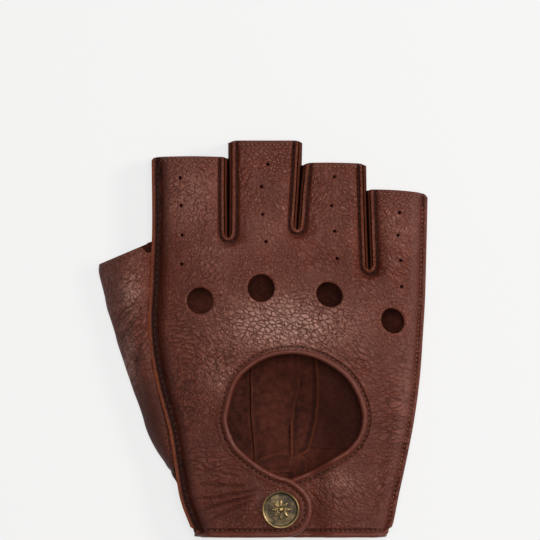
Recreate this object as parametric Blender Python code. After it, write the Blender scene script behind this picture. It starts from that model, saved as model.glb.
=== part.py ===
"""A right-hand fingerless driving glove in outseam leather, lying on its palm.

Metres, +Z up. The glove lies on its flat palm at Z 0, its fingers point to +Y and its thumb to -X.
The numbers below are millimetres, and the mesh builders turn them into metres.
The origin is at the middle of the glove's bounding box, on the surface that it lies on.
"""
import math

import bmesh
import bpy
import numpy as np
from mathutils import Matrix
from mathutils.geometry import delaunay_2d_cdt

MM = 0.001

# Driving dimensions, in millimetres
LEATHER = 1.0            # thickness of every leather panel
GAP = 0.3                # clearance between pieces that touch on the real glove
FIN = 3.0                # width of the raw-edged seam allowance that stands out past the stitches
Z_SEAM = 7.0             # underside of the back panel along the two side seams
Z_FINGER = 9.0           # underside of the back panel along the fourchettes
SIDE_REACH = 8.0         # width over which the palm rolls up to a side seam
BINDING = 2.1            # width of the rolled binding
HEM_Y = -77.4            # outer edge of the wrist
BEND_X = -14.0           # bend line of the closure tab
UNDERLAP_DIP = 3.8       # how far the right flap runs below the tab
TAB_RAISE = 1.0          # how far the tab stands above the back's dome
KNUCKLE_R = 5.2          # knuckle holes
VENT_R = 0.7             # vent holes
SNAP = (7.0, -66.4)      # centre of the snap fastener
CAP_R = 7.3
THREAD_R = 0.25

# Outer edges of the glove's fins, from the wrist to the finger tops
INDEX_SIDE = [(-27.6, -75.0), (-32.2, -62.8), (-34.3, -50.3), (-36.9, -34.7), (-41.1, -19.1),
              (-43.7, -5.5), (-44.7, 7.0), (-44.0, 20.7), (-43.2, 43.7), (-43.4, 69.7)]
LITTLE_SIDE = [(49.8, -75.0), (51.0, -71.4), (53.1, -60.9), (56.7, -44.2), (59.4, -29.6),
               (61.4, -13.9), (62.5, 1.8), (63.3, 15.2), (63.8, 32.9), (64.3, 55.1)]
# Finger openings, left to right
TOPS = [[(-43.4, 69.7), (-41.9, 70.9), (-28.5, 71.8), (-17.9, 71.3), (-14.1, 70.4)],
        [(-12.9, 76.5), (-11.4, 77.4), (0.8, 77.4), (13.4, 77.4), (14.9, 76.5)],
        [(15.9, 67.7), (17.2, 68.6), (27.0, 68.8), (37.6, 68.5), (39.8, 67.6)],
        [(40.9, 57.8), (42.2, 58.3), (51.2, 58.1), (62.0, 56.9), (64.3, 55.1)]]
# Edges of the gaps between neighbouring fingers, down one side, round the crotch and up the other
GAPS = [[(-14.1, 70.4), (-14.2, 55.0), (-14.0, 40.5), (-13.5, 38.6), (-13.0, 40.5), (-12.9, 55.0), (-12.9, 76.5)],
        [(14.9, 76.5), (13.9, 58.0), (12.9, 43.5), (13.3, 41.7), (13.8, 43.5), (14.8, 58.0), (15.9, 67.7)],
        [(39.8, 67.6), (40.4, 45.0), (41.0, 28.0), (41.5, 26.1), (42.0, 28.0), (41.4, 45.0), (40.9, 57.8)]]
# Inner edge of the keyhole's binding: round the keyhole, along the right flap's upper edge and round its end
KEYHOLE = [(-12.3, -37.6), (-13.5, -34.0), (-13.7, -29.5), (-10.3, -17.3), (-4.0, -10.7), (3.2, -7.0), (10.5, -5.9),
           (17.5, -6.6), (24.9, -9.7), (32.1, -15.0), (36.8, -22.5), (38.7, -30.5), (37.2, -37.5),
           (33.2, -42.6), (26.7, -46.8), (17.7, -51.8), (10.5, -54.6), (3.0, -57.6), (-2.2, -61.0),
           (-4.6, -66.0), (-4.2, -71.0), (-1.6, -74.6)]
# Inner side of the tab's binding is towards the tab, its outer edge runs down the keyhole and round the tip
TAB = [(-11.6, -39.2), (-10.0, -41.9), (-5.7, -45.9), (-0.4, -49.9), (5.4, -52.9), (10.9, -54.6), (15.9, -58.4),
       (18.6, -62.6), (19.2, -67.0), (18.2, -71.4), (15.6, -74.9), (11.8, -76.8), (6.5, HEM_Y),
       (-4.0, HEM_Y), (-13.7, HEM_Y)]
KNUCKLES = [(-24.6, 15.0), (-0.8, 19.9), (25.8, 17.3), (50.8, 7.1)]
VENTS = [(-32.3, 62.8), (-31.9, 52.0), (-31.5, 40.5), (-31.7, 29.2),
         (2.0, 68.2), (-0.6, 59.4), (-0.1, 48.6), (1.1, 38.0),
         (27.8, 63.2), (26.8, 52.0), (28.0, 42.0), (28.9, 31.4),
         (53.2, 49.3), (52.7, 40.4), (53.7, 30.6), (54.1, 20.4)]
# Thumb stall: its fold on the outer side, from the opening down to the root
THUMB_FOLD = [(-63.8, 29.0), (-58.9, 12.3), (-54.6, -6.6), (-50.5, -21.2), (-46.3, -31.7), (-42.6, -40.0)]
THUMB_ROOT = [(-44.6, 38.2), (-45.1, 20.7), (-45.7, 7.0), (-44.8, -5.5), (-42.3, -19.1), (-39.4, -29.5),
              (-37.8, -37.0)]

for obj in list(bpy.data.objects):
    bpy.data.objects.remove(obj, do_unlink=True)


# ---------------------------------------------------------------- plane geometry, in millimetres

def smooth_path(points, step):
    """Points about `step` apart on a smooth curve through the given ones."""
    p = np.array(points, float)
    p = np.vstack([2 * p[0] - p[1], p, 2 * p[-1] - p[-2]])
    out = []
    for a, b, c, d in zip(p, p[1:], p[2:], p[3:]):
        count = max(1, round(np.linalg.norm(c - b) / step))
        for t in np.arange(count) / count:
            out.append(0.5 * (2 * b + (c - a) * t + (2 * a - 5 * b + 4 * c - d) * t ** 2
                              + (3 * b - a - 3 * c + d) * t ** 3))
    return np.array(out + [p[-2]])


def straight_path(points, step):
    """Points about `step` apart on the straight runs between the given ones."""
    p = np.array(points, float)
    out = []
    for a, b in zip(p, p[1:]):
        count = max(1, round(np.linalg.norm(b - a) / step))
        out += [a + (b - a) * t for t in np.arange(count) / count]
    return np.array(out + [p[-1]])


def offset(path, distance):
    """The path moved sideways: to the left of its direction when the distance is positive."""
    p = np.array(path, float)
    t = np.gradient(p, axis=0)
    t /= np.linalg.norm(t, axis=1)[:, None]
    return p + distance * np.column_stack([-t[:, 1], t[:, 0]])


def circle(centre, radius, count):
    a = 2 * np.pi * np.arange(count) / count
    return np.column_stack([centre[0] + radius * np.cos(a), centre[1] + radius * np.sin(a)])


def distance_to(path, x, y):
    """Distance from each point to a polyline."""
    p = np.array(path, float)
    best = np.full(np.shape(x), 1e9)
    for a, b in zip(p, p[1:]):
        u = b - a
        t = np.clip(((x - a[0]) * u[0] + (y - a[1]) * u[1]) / max(u @ u, 1e-12), 0, 1)
        best = np.minimum(best, np.hypot(x - a[0] - t * u[0], y - a[1] - t * u[1]))
    return best


def inside(path, x, y):
    """Whether each point is inside a closed polygon."""
    p = np.array(path, float)
    found = np.zeros(np.shape(x), bool)
    for (ax, ay), (bx, by) in zip(p, np.roll(p, -1, axis=0)):
        if ay == by:
            continue
        crosses = ((ay > y) != (by > y)) & (x < (bx - ax) * (y - ay) / (by - ay) + ax)
        found ^= crosses
    return found


def ease(t):
    t = np.clip(t, 0, 1)
    return t * t * (3 - 2 * t)


def arch(distance, reach):
    return np.sin(0.5 * np.pi * np.clip(distance / reach, 0, 1))


# ---------------------------------------------------------------- the glove's surfaces

def dome(x, y):
    """Underside of the back panel, without the overlap at the wrist."""
    side = np.minimum(distance_to(INDEX_SIDE, x, y), distance_to(LITTLE_SIDE, x, y)) - FIN
    crown = np.interp(y, [-77, -50, -10, 25, 50, 77], [13.2, 14.5, 16.5, 15.2, 13.2, 12.8])
    reach = np.interp(y, [-77, 0, 25, 45], [34, 38, 34, 13])
    z = Z_SEAM + (crown - Z_SEAM) * arch(side, reach)
    between = np.min([distance_to(g, x, y) for g in GAPS], axis=0) - FIN
    return Z_FINGER + (z - Z_FINGER) * arch(between, 9.0)


def flat_at_snap(x, y, z):
    """The leather is pressed flat between the halves of the snap fastener."""
    level = float(dome(np.array([SNAP[0]]), np.array([SNAP[1]]))[0])
    r = np.hypot(x - SNAP[0], y - SNAP[1])
    return level + (z - level) * ease((r - 8.0) / 8.0)


def back_under(x, y):
    z = dome(x, y)
    flap = (x > -10) & (y < -38)
    dip = UNDERLAP_DIP * ease((29.0 - x) / 11.0) * ease((-40.0 - y) / 10.0)
    return np.where(flap, flat_at_snap(x, y, z) - dip, z)


def tab_under(x, y):
    return flat_at_snap(x, y, dome(x, y)) + TAB_RAISE * ease((x - BEND_X) / 12.0)


def palm_under(x, y):
    """Flat on the table, rolled up along both side seams but not where the thumb stall joins."""
    rise = 0.0
    for seam, joined in ((INDEX_SIDE, ease((y - 39.0) / 7.0) + ease((-44.0 - y) / 7.0)), (LITTLE_SIDE, 1.0)):
        roll = 1 - arch(distance_to(seam, x, y) - FIN, SIDE_REACH)
        rise = np.maximum(rise, (Z_SEAM - LEATHER - GAP) * roll * joined)
    return rise


# ---------------------------------------------------------------- objects

def material(name, colour, roughness, metallic=0.0):
    mat = bpy.data.materials.new(name)
    mat.use_nodes = True
    shader = mat.node_tree.nodes["Principled BSDF"]
    shader.inputs["Base Color"].default_value = (*colour, 1)
    shader.inputs["Roughness"].default_value = roughness
    shader.inputs["Metallic"].default_value = metallic
    mat.diffuse_color = (*colour, 1)
    return mat


def finish(mesh, name, mat, smooth=True):
    mesh.materials.append(mat)
    if smooth:
        mesh.shade_smooth()
        mesh.set_sharp_from_angle(angle=math.radians(40))
    obj = bpy.data.objects.new(name, mesh)
    bpy.context.collection.objects.link(obj)
    return obj


def panel(name, outline, holes, under, spacing, mat, folds=()):
    """A leather panel: triangles between the outline and its holes, lifted to the surface, then thickened.

    A fold is a path that gets points of its own, where the leather turns from a flat fin to a dome.
    """
    outline = np.array(outline, float)
    low, high = outline.min(axis=0), outline.max(axis=0)
    rows = np.arange(low[1], high[1], spacing * 0.866)
    lattice = np.array([(x + (i % 2) * spacing / 2, y) for i, y in enumerate(rows)
                        for x in np.arange(low[0], high[0], spacing)])
    keep = inside(outline, lattice[:, 0], lattice[:, 1])
    for loop in [outline] + holes:
        closed = np.vstack([loop, loop[:1]])
        keep &= distance_to(closed, lattice[:, 0], lattice[:, 1]) > min(0.5 * spacing, 2.6)
    for loop in holes:
        keep &= ~inside(loop, lattice[:, 0], lattice[:, 1])
    creases = []
    for path in folds:
        ok = inside(outline, path[:, 0], path[:, 1])
        for loop in [outline] + holes:
            ok &= distance_to(np.vstack([loop, loop[:1]]), path[:, 0], path[:, 1]) > 1.2
        creases += path[ok].tolist()
        keep &= distance_to(path, lattice[:, 0], lattice[:, 1]) > 0.45 * spacing
    points, edges = [], []
    for loop in [outline] + holes:
        start = len(points)
        points += [tuple(p) for p in loop]
        edges += [(start + i, start + (i + 1) % len(loop)) for i in range(len(loop))]
    points += [tuple(p) for p in creases] + [tuple(p) for p in lattice[keep]]
    found = delaunay_2d_cdt(points, edges, [], 0, 1e-6)
    flat = np.array([tuple(v) for v in found[0]])
    faces = np.array(found[2])
    middle = flat[faces].mean(axis=1)
    keep = inside(outline, middle[:, 0], middle[:, 1])
    for loop in holes:
        keep &= ~inside(loop, middle[:, 0], middle[:, 1])
    faces = faces[keep]
    a, b, c = flat[faces[:, 0]], flat[faces[:, 1]], flat[faces[:, 2]]
    turned = (b[:, 0] - a[:, 0]) * (c[:, 1] - a[:, 1]) < (b[:, 1] - a[:, 1]) * (c[:, 0] - a[:, 0])
    faces[turned] = faces[turned][:, ::-1]
    z = under(flat[:, 0], flat[:, 1])
    mesh = bpy.data.meshes.new(name)
    mesh.from_pydata((np.column_stack([flat, z]) * MM).tolist(), [], faces.tolist())
    obj = finish(mesh, name, mat)
    thick = obj.modifiers.new("Leather thickness", "SOLIDIFY")
    thick.thickness = LEATHER * MM
    thick.offset = 1.0
    return obj


def cord(name, path, radius, mat, sides=1):
    """A round strand along points in space: a sewing thread or a rolled binding."""
    curve = bpy.data.curves.new(name, "CURVE")
    curve.dimensions = "3D"
    curve.bevel_depth = radius * MM
    curve.bevel_resolution = sides
    curve.use_fill_caps = True
    spline = curve.splines.new("POLY")
    spline.points.add(len(path) - 1)
    for point, place in zip(spline.points, np.array(path) * MM):
        point.co = (*place, 1)
    curve.materials.append(mat)
    obj = bpy.data.objects.new(name, curve)
    bpy.context.collection.objects.link(obj)
    return obj


def on_surface(path, under, lift):
    path = np.array(path)
    return np.column_stack([path, under(path[:, 0], path[:, 1]) + lift])


def wall(name, inner, outer, low, high, mat):
    """An upright strip of leather between two plan curves."""
    loop = np.vstack([inner, outer[::-1]])
    bm = bmesh.new()
    verts = [bm.verts.new((x * MM, y * MM, low * MM)) for x, y in loop]
    face = bm.faces.new(verts)
    top = bmesh.ops.extrude_face_region(bm, geom=[face])["geom"]
    bmesh.ops.translate(bm, verts=[v for v in top if isinstance(v, bmesh.types.BMVert)],
                        vec=(0, 0, (high - low) * MM))
    bmesh.ops.triangulate(bm, faces=bm.faces[:])
    bmesh.ops.recalc_face_normals(bm, faces=bm.faces[:])
    mesh = bpy.data.meshes.new(name)
    bm.to_mesh(mesh)
    bm.free()
    return finish(mesh, name, mat)


def turned(name, profile, centre, steps, mat):
    """A closed profile of (radius, height) turned about the vertical axis through `centre`."""
    bm = bmesh.new()
    rings = []
    for r, z in profile:
        if r == 0:
            rings.append([bm.verts.new((centre[0] * MM, centre[1] * MM, z * MM))])
        else:
            rings.append([bm.verts.new((x * MM, y * MM, z * MM)) for x, y in circle(centre, r, steps)])
    for a, b in zip(rings, rings[1:] + rings[:1]):
        for i in range(steps):
            corners = [a[i % len(a)], a[(i + 1) % len(a)], b[(i + 1) % len(b)], b[i % len(b)]]
            corners = list(dict.fromkeys(corners))
            if len(corners) > 2:
                bm.faces.new(corners)
    bmesh.ops.recalc_face_normals(bm, faces=bm.faces[:])
    mesh = bpy.data.meshes.new(name)
    bm.to_mesh(mesh)
    bm.free()
    return finish(mesh, name, mat)


LEATHERS = {
    "back": material("Reddish brown pebbled leather", (0.130, 0.045, 0.030), 0.50),
    "tab": material("Reddish brown pebbled leather of the tab", (0.125, 0.043, 0.029), 0.50),
    "palm": material("Reddish brown palm leather", (0.120, 0.046, 0.034), 0.58),
    "thumb": material("Reddish brown thumb leather", (0.122, 0.047, 0.036), 0.52),
    "side": material("Reddish brown fourchette leather", (0.098, 0.036, 0.025), 0.60),
    "binding": material("Rolled binding leather", (0.105, 0.036, 0.024), 0.42),
    "inner": material("Smooth inner leather", (0.060, 0.026, 0.018), 0.62),
}
BRASS = material("Antique brass", (0.170, 0.115, 0.065), 0.35, 1.0)
STEEL = material("Spring steel", (0.42, 0.42, 0.42), 0.30, 1.0)
THREAD = material("Red-brown waxed thread", (0.130, 0.050, 0.030), 0.70)

# ---------------------------------------------------------------- back panel
EDGE = BINDING + GAP + 0.1
keyhole_edge = offset(smooth_path(KEYHOLE, 4.0), EDGE)       # the keyhole is on the right of the path
index_side = smooth_path(INDEX_SIDE, 8.0)
little_side = smooth_path(LITTLE_SIDE, 8.0)
rim = [index_side]
for number, top in enumerate(TOPS):
    rim.append(smooth_path(top, 6.0)[1:] if number == 0 else smooth_path(top, 6.0))
    if number < 3:
        rim.append(straight_path(GAPS[number], 7.0)[1:-1])
hem = HEM_Y + EDGE
split_top = keyhole_edge[0]
outline = np.vstack(rim + [little_side[::-1]] + [
    straight_path([(49.8, hem), (2.0, hem)], 7.0)[1:],
    keyhole_edge[::-1],
    straight_path([(BEND_X - 0.15, split_top[1] - 1.4), (BEND_X - 0.15, hem)], 7.0),
    straight_path([(BEND_X - 0.15, hem), (-27.6, hem)], 7.0)[1:-1]])
side_folds = [offset(index_side, -FIN), offset(little_side, FIN)]
finger_folds = [offset(smooth_path(g, 6.0), -FIN) for g in GAPS]
holes = [circle(c, KNUCKLE_R, 18)[::-1] for c in KNUCKLES]
holes += [circle(c, VENT_R, 8)[::-1] for c in VENTS]
panel("back_panel", outline, holes + [circle(SNAP, 1.8, 12)], back_under, 6.0, LEATHERS["back"],
      side_folds + finger_folds)

# ---------------------------------------------------------------- closure tab, hinged along its bend line
tab_edge = offset(smooth_path(TAB, 3.0), -EDGE)
tab_edge = tab_edge[tab_edge[:, 0] > BEND_X + 0.4]
tab_outline = np.vstack([
    straight_path([(BEND_X + 0.15, hem), (BEND_X + 0.15, tab_edge[0][1] - 0.2)], 6.0), tab_edge])
tab = panel("closure_tab", tab_outline, [circle(SNAP, 1.8, 12)], tab_under, 5.0, LEATHERS["tab"])
line = np.linspace(hem, split_top[1], 9)
AXIS_Z = float(np.max(tab_under(np.full(9, BEND_X), line))) + LEATHER + 0.8

# ---------------------------------------------------------------- palm
palm_outline = np.vstack(rim + [little_side[::-1],
                                straight_path([(49.8, hem), (-27.6, hem)], 7.0)[1:-1]])
palm_folds = side_folds + [offset(index_side, -FIN - SIDE_REACH), offset(little_side, FIN + SIDE_REACH)]
panel("palm_panel", palm_outline, [], palm_under, 6.5, LEATHERS["palm"], palm_folds)

INNER = {
    "inner_thumb_side_strip": [(-20.0, -3.0), (-5.2, -3.0), (-5.2, -29.0), (-3.6, -44.0), (-3.9, -60.0),
                               (-20.0, -60.0)],
    "inner_centre_panel": [(-4.6, -2.0), (14.2, -2.0), (14.6, -10.0), (14.2, -19.0), (12.2, -27.0),
                           (12.0, -36.0), (13.6, -43.6), (4.0, -45.0), (-2.7, -44.4), (-4.4, -29.0)],
    "inner_seam_strip": [(14.9, -2.0), (20.6, -2.0), (21.6, -14.0), (21.8, -24.0), (20.6, -36.0),
                         (18.8, -43.0), (14.4, -43.4), (12.7, -36.0), (12.9, -27.0), (14.9, -19.0),
                         (15.3, -10.0)],
    "inner_little_side_piece": [(21.2, -2.0), (46.0, -2.0), (46.0, -44.5), (19.8, -43.4), (21.3, -36.0),
                                (22.4, -24.0), (22.2, -14.0)],
    "inner_heel_piece": [(-3.0, -45.2), (4.0, -45.8), (13.8, -44.2), (17.0, -46.0), (16.5, -51.0),
                         (12.0, -58.0), (5.0, -61.5), (-3.2, -60.0)],
}
for name, corners in INNER.items():
    loop = straight_path(corners + corners[:1], 9.0)[:-1]
    piece = panel(name, loop, [], lambda x, y: np.full(np.shape(x), LEATHER + GAP), 9.0, LEATHERS["inner"])
    piece.modifiers["Leather thickness"].thickness = 0.8 * MM

# ---------------------------------------------------------------- fourchettes
for name, gap in zip(("index_middle", "middle_ring", "ring_little"), GAPS):
    edge = straight_path(gap, 12.0)
    wall("fourchette_" + name, offset(edge, -LEATHER), edge, LEATHER + GAP, Z_FINGER - GAP, LEATHERS["side"])

# ---------------------------------------------------------------- thumb stall, hinged along its root
STATIONS = 11
ACROSS_LOW = [0.0, 0.25, 0.5, 0.72, 0.86, 0.95, 1.0]
ACROSS_HIGH = [0.97, 0.9, 0.8, 0.65, 0.5, 0.33, 0.16, 0.0]


def evenly(path, count):
    """`count` points at equal distances along a path."""
    p = smooth_path(path, 1.0)
    run = np.concatenate([[0], np.cumsum(np.linalg.norm(np.diff(p, axis=0), axis=1))])
    at = np.linspace(0, run[-1], count)
    return np.column_stack([np.interp(at, run, p[:, 0]), np.interp(at, run, p[:, 1])])


def thumb_section(fold, root):
    """The middle of the leather across the stall: along the table, round the fold and back over the top."""
    puff = min(4.6, 0.22 * float(np.linalg.norm(fold - root)))
    points = []
    for u in ACROSS_LOW:
        points.append((*(root + (fold - root) * u), 0.5 + 2.0 * u ** 8))
    for u in ACROSS_HIGH:
        z = 2.5 + (4.4 + puff * math.sin(math.pi * u ** 0.8)) * math.sqrt(1 - u ** 4)
        points.append((*(root + (fold - root) * u), z))
    return points


folds, roots = evenly(THUMB_FOLD, STATIONS), evenly(THUMB_ROOT, STATIONS)
sections = [thumb_section(f, r) for f, r in zip(folds, roots)]
across = len(sections[0])
verts = np.array([p for s in sections for p in s]) * MM
faces = [(i * across + j, i * across + j + 1, (i + 1) * across + j + 1, (i + 1) * across + j)
         for i in range(STATIONS - 1) for j in range(across - 1)]
mesh = bpy.data.meshes.new("thumb_stall")
mesh.from_pydata(verts.tolist(), [], faces)
thumb = finish(mesh, "thumb_stall", LEATHERS["thumb"])
thick = thumb.modifiers.new("Leather thickness", "SOLIDIFY")
thick.thickness = LEATHER * MM
thick.offset = 0.0
mouth = np.array([(x, y, z + 0.5 + THREAD_R + 0.15) for x, y, z in sections[0][-8:]])
inward = (folds[1] + roots[1]) / 2 - (folds[0] + roots[0]) / 2
mouth[:, :2] += 1.5 * inward / np.linalg.norm(inward)
cord("thread_thumb_hem", mouth[1:-1], THREAD_R, THREAD)

# ---------------------------------------------------------------- bindings
half = BINDING / 2
keyhole_roll = offset(smooth_path(KEYHOLE, 3.0), half)
cord("keyhole_binding", on_surface(keyhole_roll, back_under, LEATHER / 2), half, LEATHERS["binding"])
tab_roll = offset(smooth_path(TAB, 3.0), -half)
cord("tab_binding", on_surface(tab_roll[:-1], tab_under, LEATHER / 2), half, LEATHERS["binding"])
hem_roll = HEM_Y + half
for name, start, end, under, least in (
        ("wrist_binding_left", -23.0, BEND_X - 0.6, back_under, 0),
        ("wrist_binding_right", 1.6, 44.0, back_under, 0),
        ("wrist_binding_palm", -22.0, 44.0, palm_under, half)):
    run = straight_path([(start, hem_roll), (end, hem_roll)], 5.0)
    run = on_surface(run, under, LEATHER / 2)
    run[:, 2] = np.maximum(run[:, 2], least)
    cord(name, run, half, LEATHERS["binding"])

# ---------------------------------------------------------------- snap fastener
tab_low = float(tab_under(np.array([SNAP[0]]), np.array([SNAP[1]]))[0])
flap_top = float(back_under(np.array([SNAP[0]]), np.array([SNAP[1]]))[0]) + LEATHER
top = tab_low + LEATHER + GAP
turned("snap_cap", [(0, top + 3.2), (2.6, top + 3.0), (4.6, top + 2.5), (5.6, top + 2.1), (6.1, top + 2.5),
                    (6.9, top + 2.2), (CAP_R, top + 1.2), (7.1, top), (1.4, top), (1.4, tab_low - 0.8),
                    (0, tab_low - 0.8)], SNAP, 28, BRASS)
socket = tab_low - GAP
turned("snap_socket", [(1.8, socket), (5.2, socket), (5.5, socket - 0.4), (5.5, socket - 2.0),
                       (5.1, socket - 2.4), (3.5, socket - 2.4), (3.5, socket - 2.0), (4.1, socket - 1.9),
                       (4.1, socket - 1.0), (3.5, socket - 0.9), (3.5, socket - 0.6), (1.8, socket - 0.6)],
       SNAP, 24, BRASS)
a = np.linspace(0.25, 2 * math.pi - 0.25, 20)
ring = np.column_stack([SNAP[0] + 3.72 * np.cos(a), SNAP[1] + 3.72 * np.sin(a), np.full(20, socket - 1.45)])
cord("snap_ring_spring", ring, 0.28, STEEL)
turned("snap_stud", [(0, flap_top + 2.6), (1.9, flap_top + 2.6), (2.6, flap_top + 2.3), (2.8, flap_top + 1.9),
                     (2.4, flap_top + 1.4), (2.4, flap_top + 0.8), (5.1, flap_top + 0.8),
                     (5.2, flap_top + 0.5), (5.0, flap_top + 0.3), (1.55, flap_top + 0.3),
                     (1.55, flap_top + 1.8), (0, flap_top + 1.8)], SNAP, 24, BRASS)
under = flap_top - LEATHER - GAP
turned("snap_rivet_post", [(0, flap_top + 1.5), (1.2, flap_top + 1.5), (1.2, under), (5.0, under),
                           (5.0, under - 0.4), (4.4, under - 0.7), (0, under - 0.7)], SNAP, 24, BRASS)

# ---------------------------------------------------------------- sewing threads
LIFT = LEATHER + THREAD_R + 0.45
STITCH = 3.4             # stitch line from the inner edge of a binding
cord("thread_keyhole", on_surface(offset(smooth_path(KEYHOLE[:18], 4.0), STITCH), back_under, LIFT),
     THREAD_R, THREAD)
cord("thread_tab", on_surface(offset(smooth_path(TAB[1:], 4.0), -STITCH)[:-1], tab_under, LIFT), THREAD_R, THREAD)
hem_stitch = HEM_Y + STITCH
cord("thread_wrist_left", on_surface(straight_path([(-24.5, hem_stitch), (BEND_X - 1, hem_stitch)], 4.0),
                                     back_under, LIFT), THREAD_R, THREAD)
cord("thread_wrist_right", on_surface(straight_path([(22.5, hem_stitch), (46.0, hem_stitch)], 4.0),
                                      back_under, LIFT), THREAD_R, THREAD)
cord("thread_index_side", on_surface(offset(smooth_path(INDEX_SIDE[:-1] + [(-43.4, 68.0)], 6.0), -2.3), back_under,
                                     LIFT), THREAD_R, THREAD)
cord("thread_little_side", on_surface(offset(smooth_path(LITTLE_SIDE[:-1] + [(64.2, 53.0)], 6.0), 2.3), back_under,
                                      LIFT), THREAD_R, THREAD)
for name, edge in zip(("index", "middle", "ring", "little"), TOPS):
    run = offset(smooth_path(edge, 3.0), -1.4)[2:-2]
    cord("thread_hem_" + name, on_surface(run, back_under, LIFT), THREAD_R, THREAD)
for name, gap in zip(("index_middle", "middle_ring", "ring_little"), GAPS):
    run = offset(smooth_path(gap, 5.0), -1.9)[2:-2]
    cord("thread_fourchette_" + name, on_surface(run, back_under, LIFT + 0.15), THREAD_R, THREAD)

# ---------------------------------------------------------------- hinges: each moving piece hangs on its own axis
THUMB_AXIS_Z = 7.2
for name, place, pieces in (
        ("closure_tab_hinge", (BEND_X, 0.5 * (hem + split_top[1]), AXIS_Z),
         ("closure_tab", "tab_binding", "thread_tab", "snap_cap", "snap_socket", "snap_ring_spring")),
        ("thumb_hinge", (*THUMB_ROOT[0], THUMB_AXIS_Z), ("thumb_stall", "thread_thumb_hem"))):
    hinge = bpy.data.objects.new(name, None)
    hinge.location = np.array(place) * MM
    bpy.context.collection.objects.link(hinge)
    for piece in pieces:
        bpy.data.objects[piece].parent = hinge
        bpy.data.objects[piece].matrix_parent_inverse = Matrix.Translation(-hinge.location)
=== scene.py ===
"""Looks for a right-hand fingerless driving glove in outseam leather, lying on its palm.

Everything is in the row frame: metres, +Z up, fingers to +Y, thumb to -X. The numbers in the tables below
are millimetres, and the mesh builders turn them into metres. Leather is made here as thick curved sheets
with their grain, creases, raw edges and sewing in the mesh; finer grain is bump in the materials.
"""
import math

import bmesh
import bpy
import numpy as np
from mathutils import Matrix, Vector
from mathutils.geometry import delaunay_2d_cdt


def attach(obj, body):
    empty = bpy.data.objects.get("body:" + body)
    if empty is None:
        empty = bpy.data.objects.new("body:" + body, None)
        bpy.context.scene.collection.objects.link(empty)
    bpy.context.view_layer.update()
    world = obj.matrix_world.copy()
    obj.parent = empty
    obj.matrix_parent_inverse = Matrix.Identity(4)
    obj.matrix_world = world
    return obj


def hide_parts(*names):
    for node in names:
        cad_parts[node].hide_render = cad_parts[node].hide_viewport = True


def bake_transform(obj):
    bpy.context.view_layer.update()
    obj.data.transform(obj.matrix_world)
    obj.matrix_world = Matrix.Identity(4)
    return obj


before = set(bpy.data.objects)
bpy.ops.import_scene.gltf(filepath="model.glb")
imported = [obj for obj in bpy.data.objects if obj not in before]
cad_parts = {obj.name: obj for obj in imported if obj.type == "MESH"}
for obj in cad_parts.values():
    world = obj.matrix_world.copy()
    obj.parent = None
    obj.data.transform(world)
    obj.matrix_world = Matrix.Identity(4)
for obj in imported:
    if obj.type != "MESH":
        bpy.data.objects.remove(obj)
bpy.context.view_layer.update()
MM = 0.001
FINE = 0.52       # triangle size of the leather sheets

# ---------------------------------------------------------------- the glove's dimensions, in millimetres
LEATHER = 1.0                            # thickness
FIN = 3.0                                # width of the seam allowance outside the side seams
Z_SEAM = 7.0                             # height of the back's underside along the side seams
Z_FINGER = 10.6                          # and over the fingers
SEAM_ROLL = 4.2                          # how far from its seam the back has risen to the fingers' height
SIDE_REACH = 8.0                         # how far from its seam the palm has come down to the floor
BINDING = 2.1                            # width of a rolled binding
HEM_Y = -77.4                            # the wrist end
BEND_X = -14.0                           # where the tab starts to bend
UNDERLAP_DIP = 3.8                       # how far the little-finger flap dips to pass under the tab
TAB_RAISE = 1.0                          # how far the tab lifts off it, over the first TAB_RISE from the bend
TAB_RISE = 12.0
VENT_R = 0.62                            # radius of a vent hole
SNAP = (7.0, -66.4)                      # centre of the fastener
EDGE = BINDING - 0.3                     # from the outside of a binding to the leather's edge within it
FOURCHETTE = 1.1                         # width of a fourchette's raw edge beside the back's
STITCH_ROW = 2.85                        # from the outside of a binding to the stitches beside it
RIDGE_ROW = 3.75                         # and to the ridge behind them
GROOVE = (2.5, STITCH_ROW, 3.2, RIDGE_ROW)
TOP_ROW = 1.5                            # from the end of a finger to its hem stitches

# The raw edges of the side seams, from the wrist to the fingers.
INDEX_SIDE = [
    (-27.6, -75.0), (-32.2, -62.8), (-34.3, -50.3), (-36.9, -34.7), (-41.1, -19.1), (-43.7, -5.5),
    (-44.7, 7.0), (-44.0, 20.7), (-43.2, 43.7), (-43.4, 69.7)]
LITTLE_SIDE = [
    (49.8, -75.0), (51.0, -71.4), (53.1, -60.9), (56.7, -44.2), (59.4, -29.6), (61.4, -13.9), (62.5, 1.8),
    (63.3, 15.2), (63.8, 32.9), (64.3, 55.1)]
# The ends of the fingers from the index to the little one, then the gaps between them.
TOPS = [
    [(-43.4, 69.7), (-42.7, 70.6), (-41.0, 71.0), (-28.5, 71.3), (-17.9, 71.1), (-15.1, 71.0), (-14.1, 70.4)],
    [(-12.9, 76.5), (-12.1, 77.2), (-10.5, 77.4), (0.8, 77.4), (13.0, 77.4), (14.3, 77.2), (14.9, 76.5)],
    [(15.9, 67.7), (16.6, 68.4), (18.2, 68.7), (27.0, 68.8), (37.2, 68.5), (39.0, 68.2), (39.8, 67.6)],
    [(40.9, 57.8), (42.0, 58.3), (51.2, 58.1), (60.5, 57.2), (63.3, 56.5), (64.3, 55.1)],
]
GAPS = [
    [(-14.1, 70.4), (-14.2, 55.0), (-14.0, 40.5), (-13.5, 38.6), (-13.0, 40.5), (-12.9, 55.0), (-12.9, 76.5)],
    [(14.9, 76.5), (13.9, 58.0), (12.9, 43.5), (13.3, 41.7), (13.8, 43.5), (14.8, 58.0), (15.9, 67.7)],
    [(39.8, 67.6), (40.4, 45.0), (41.0, 28.0), (41.5, 26.1), (42.0, 28.0), (41.4, 45.0), (40.9, 57.8)],
]
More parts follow.
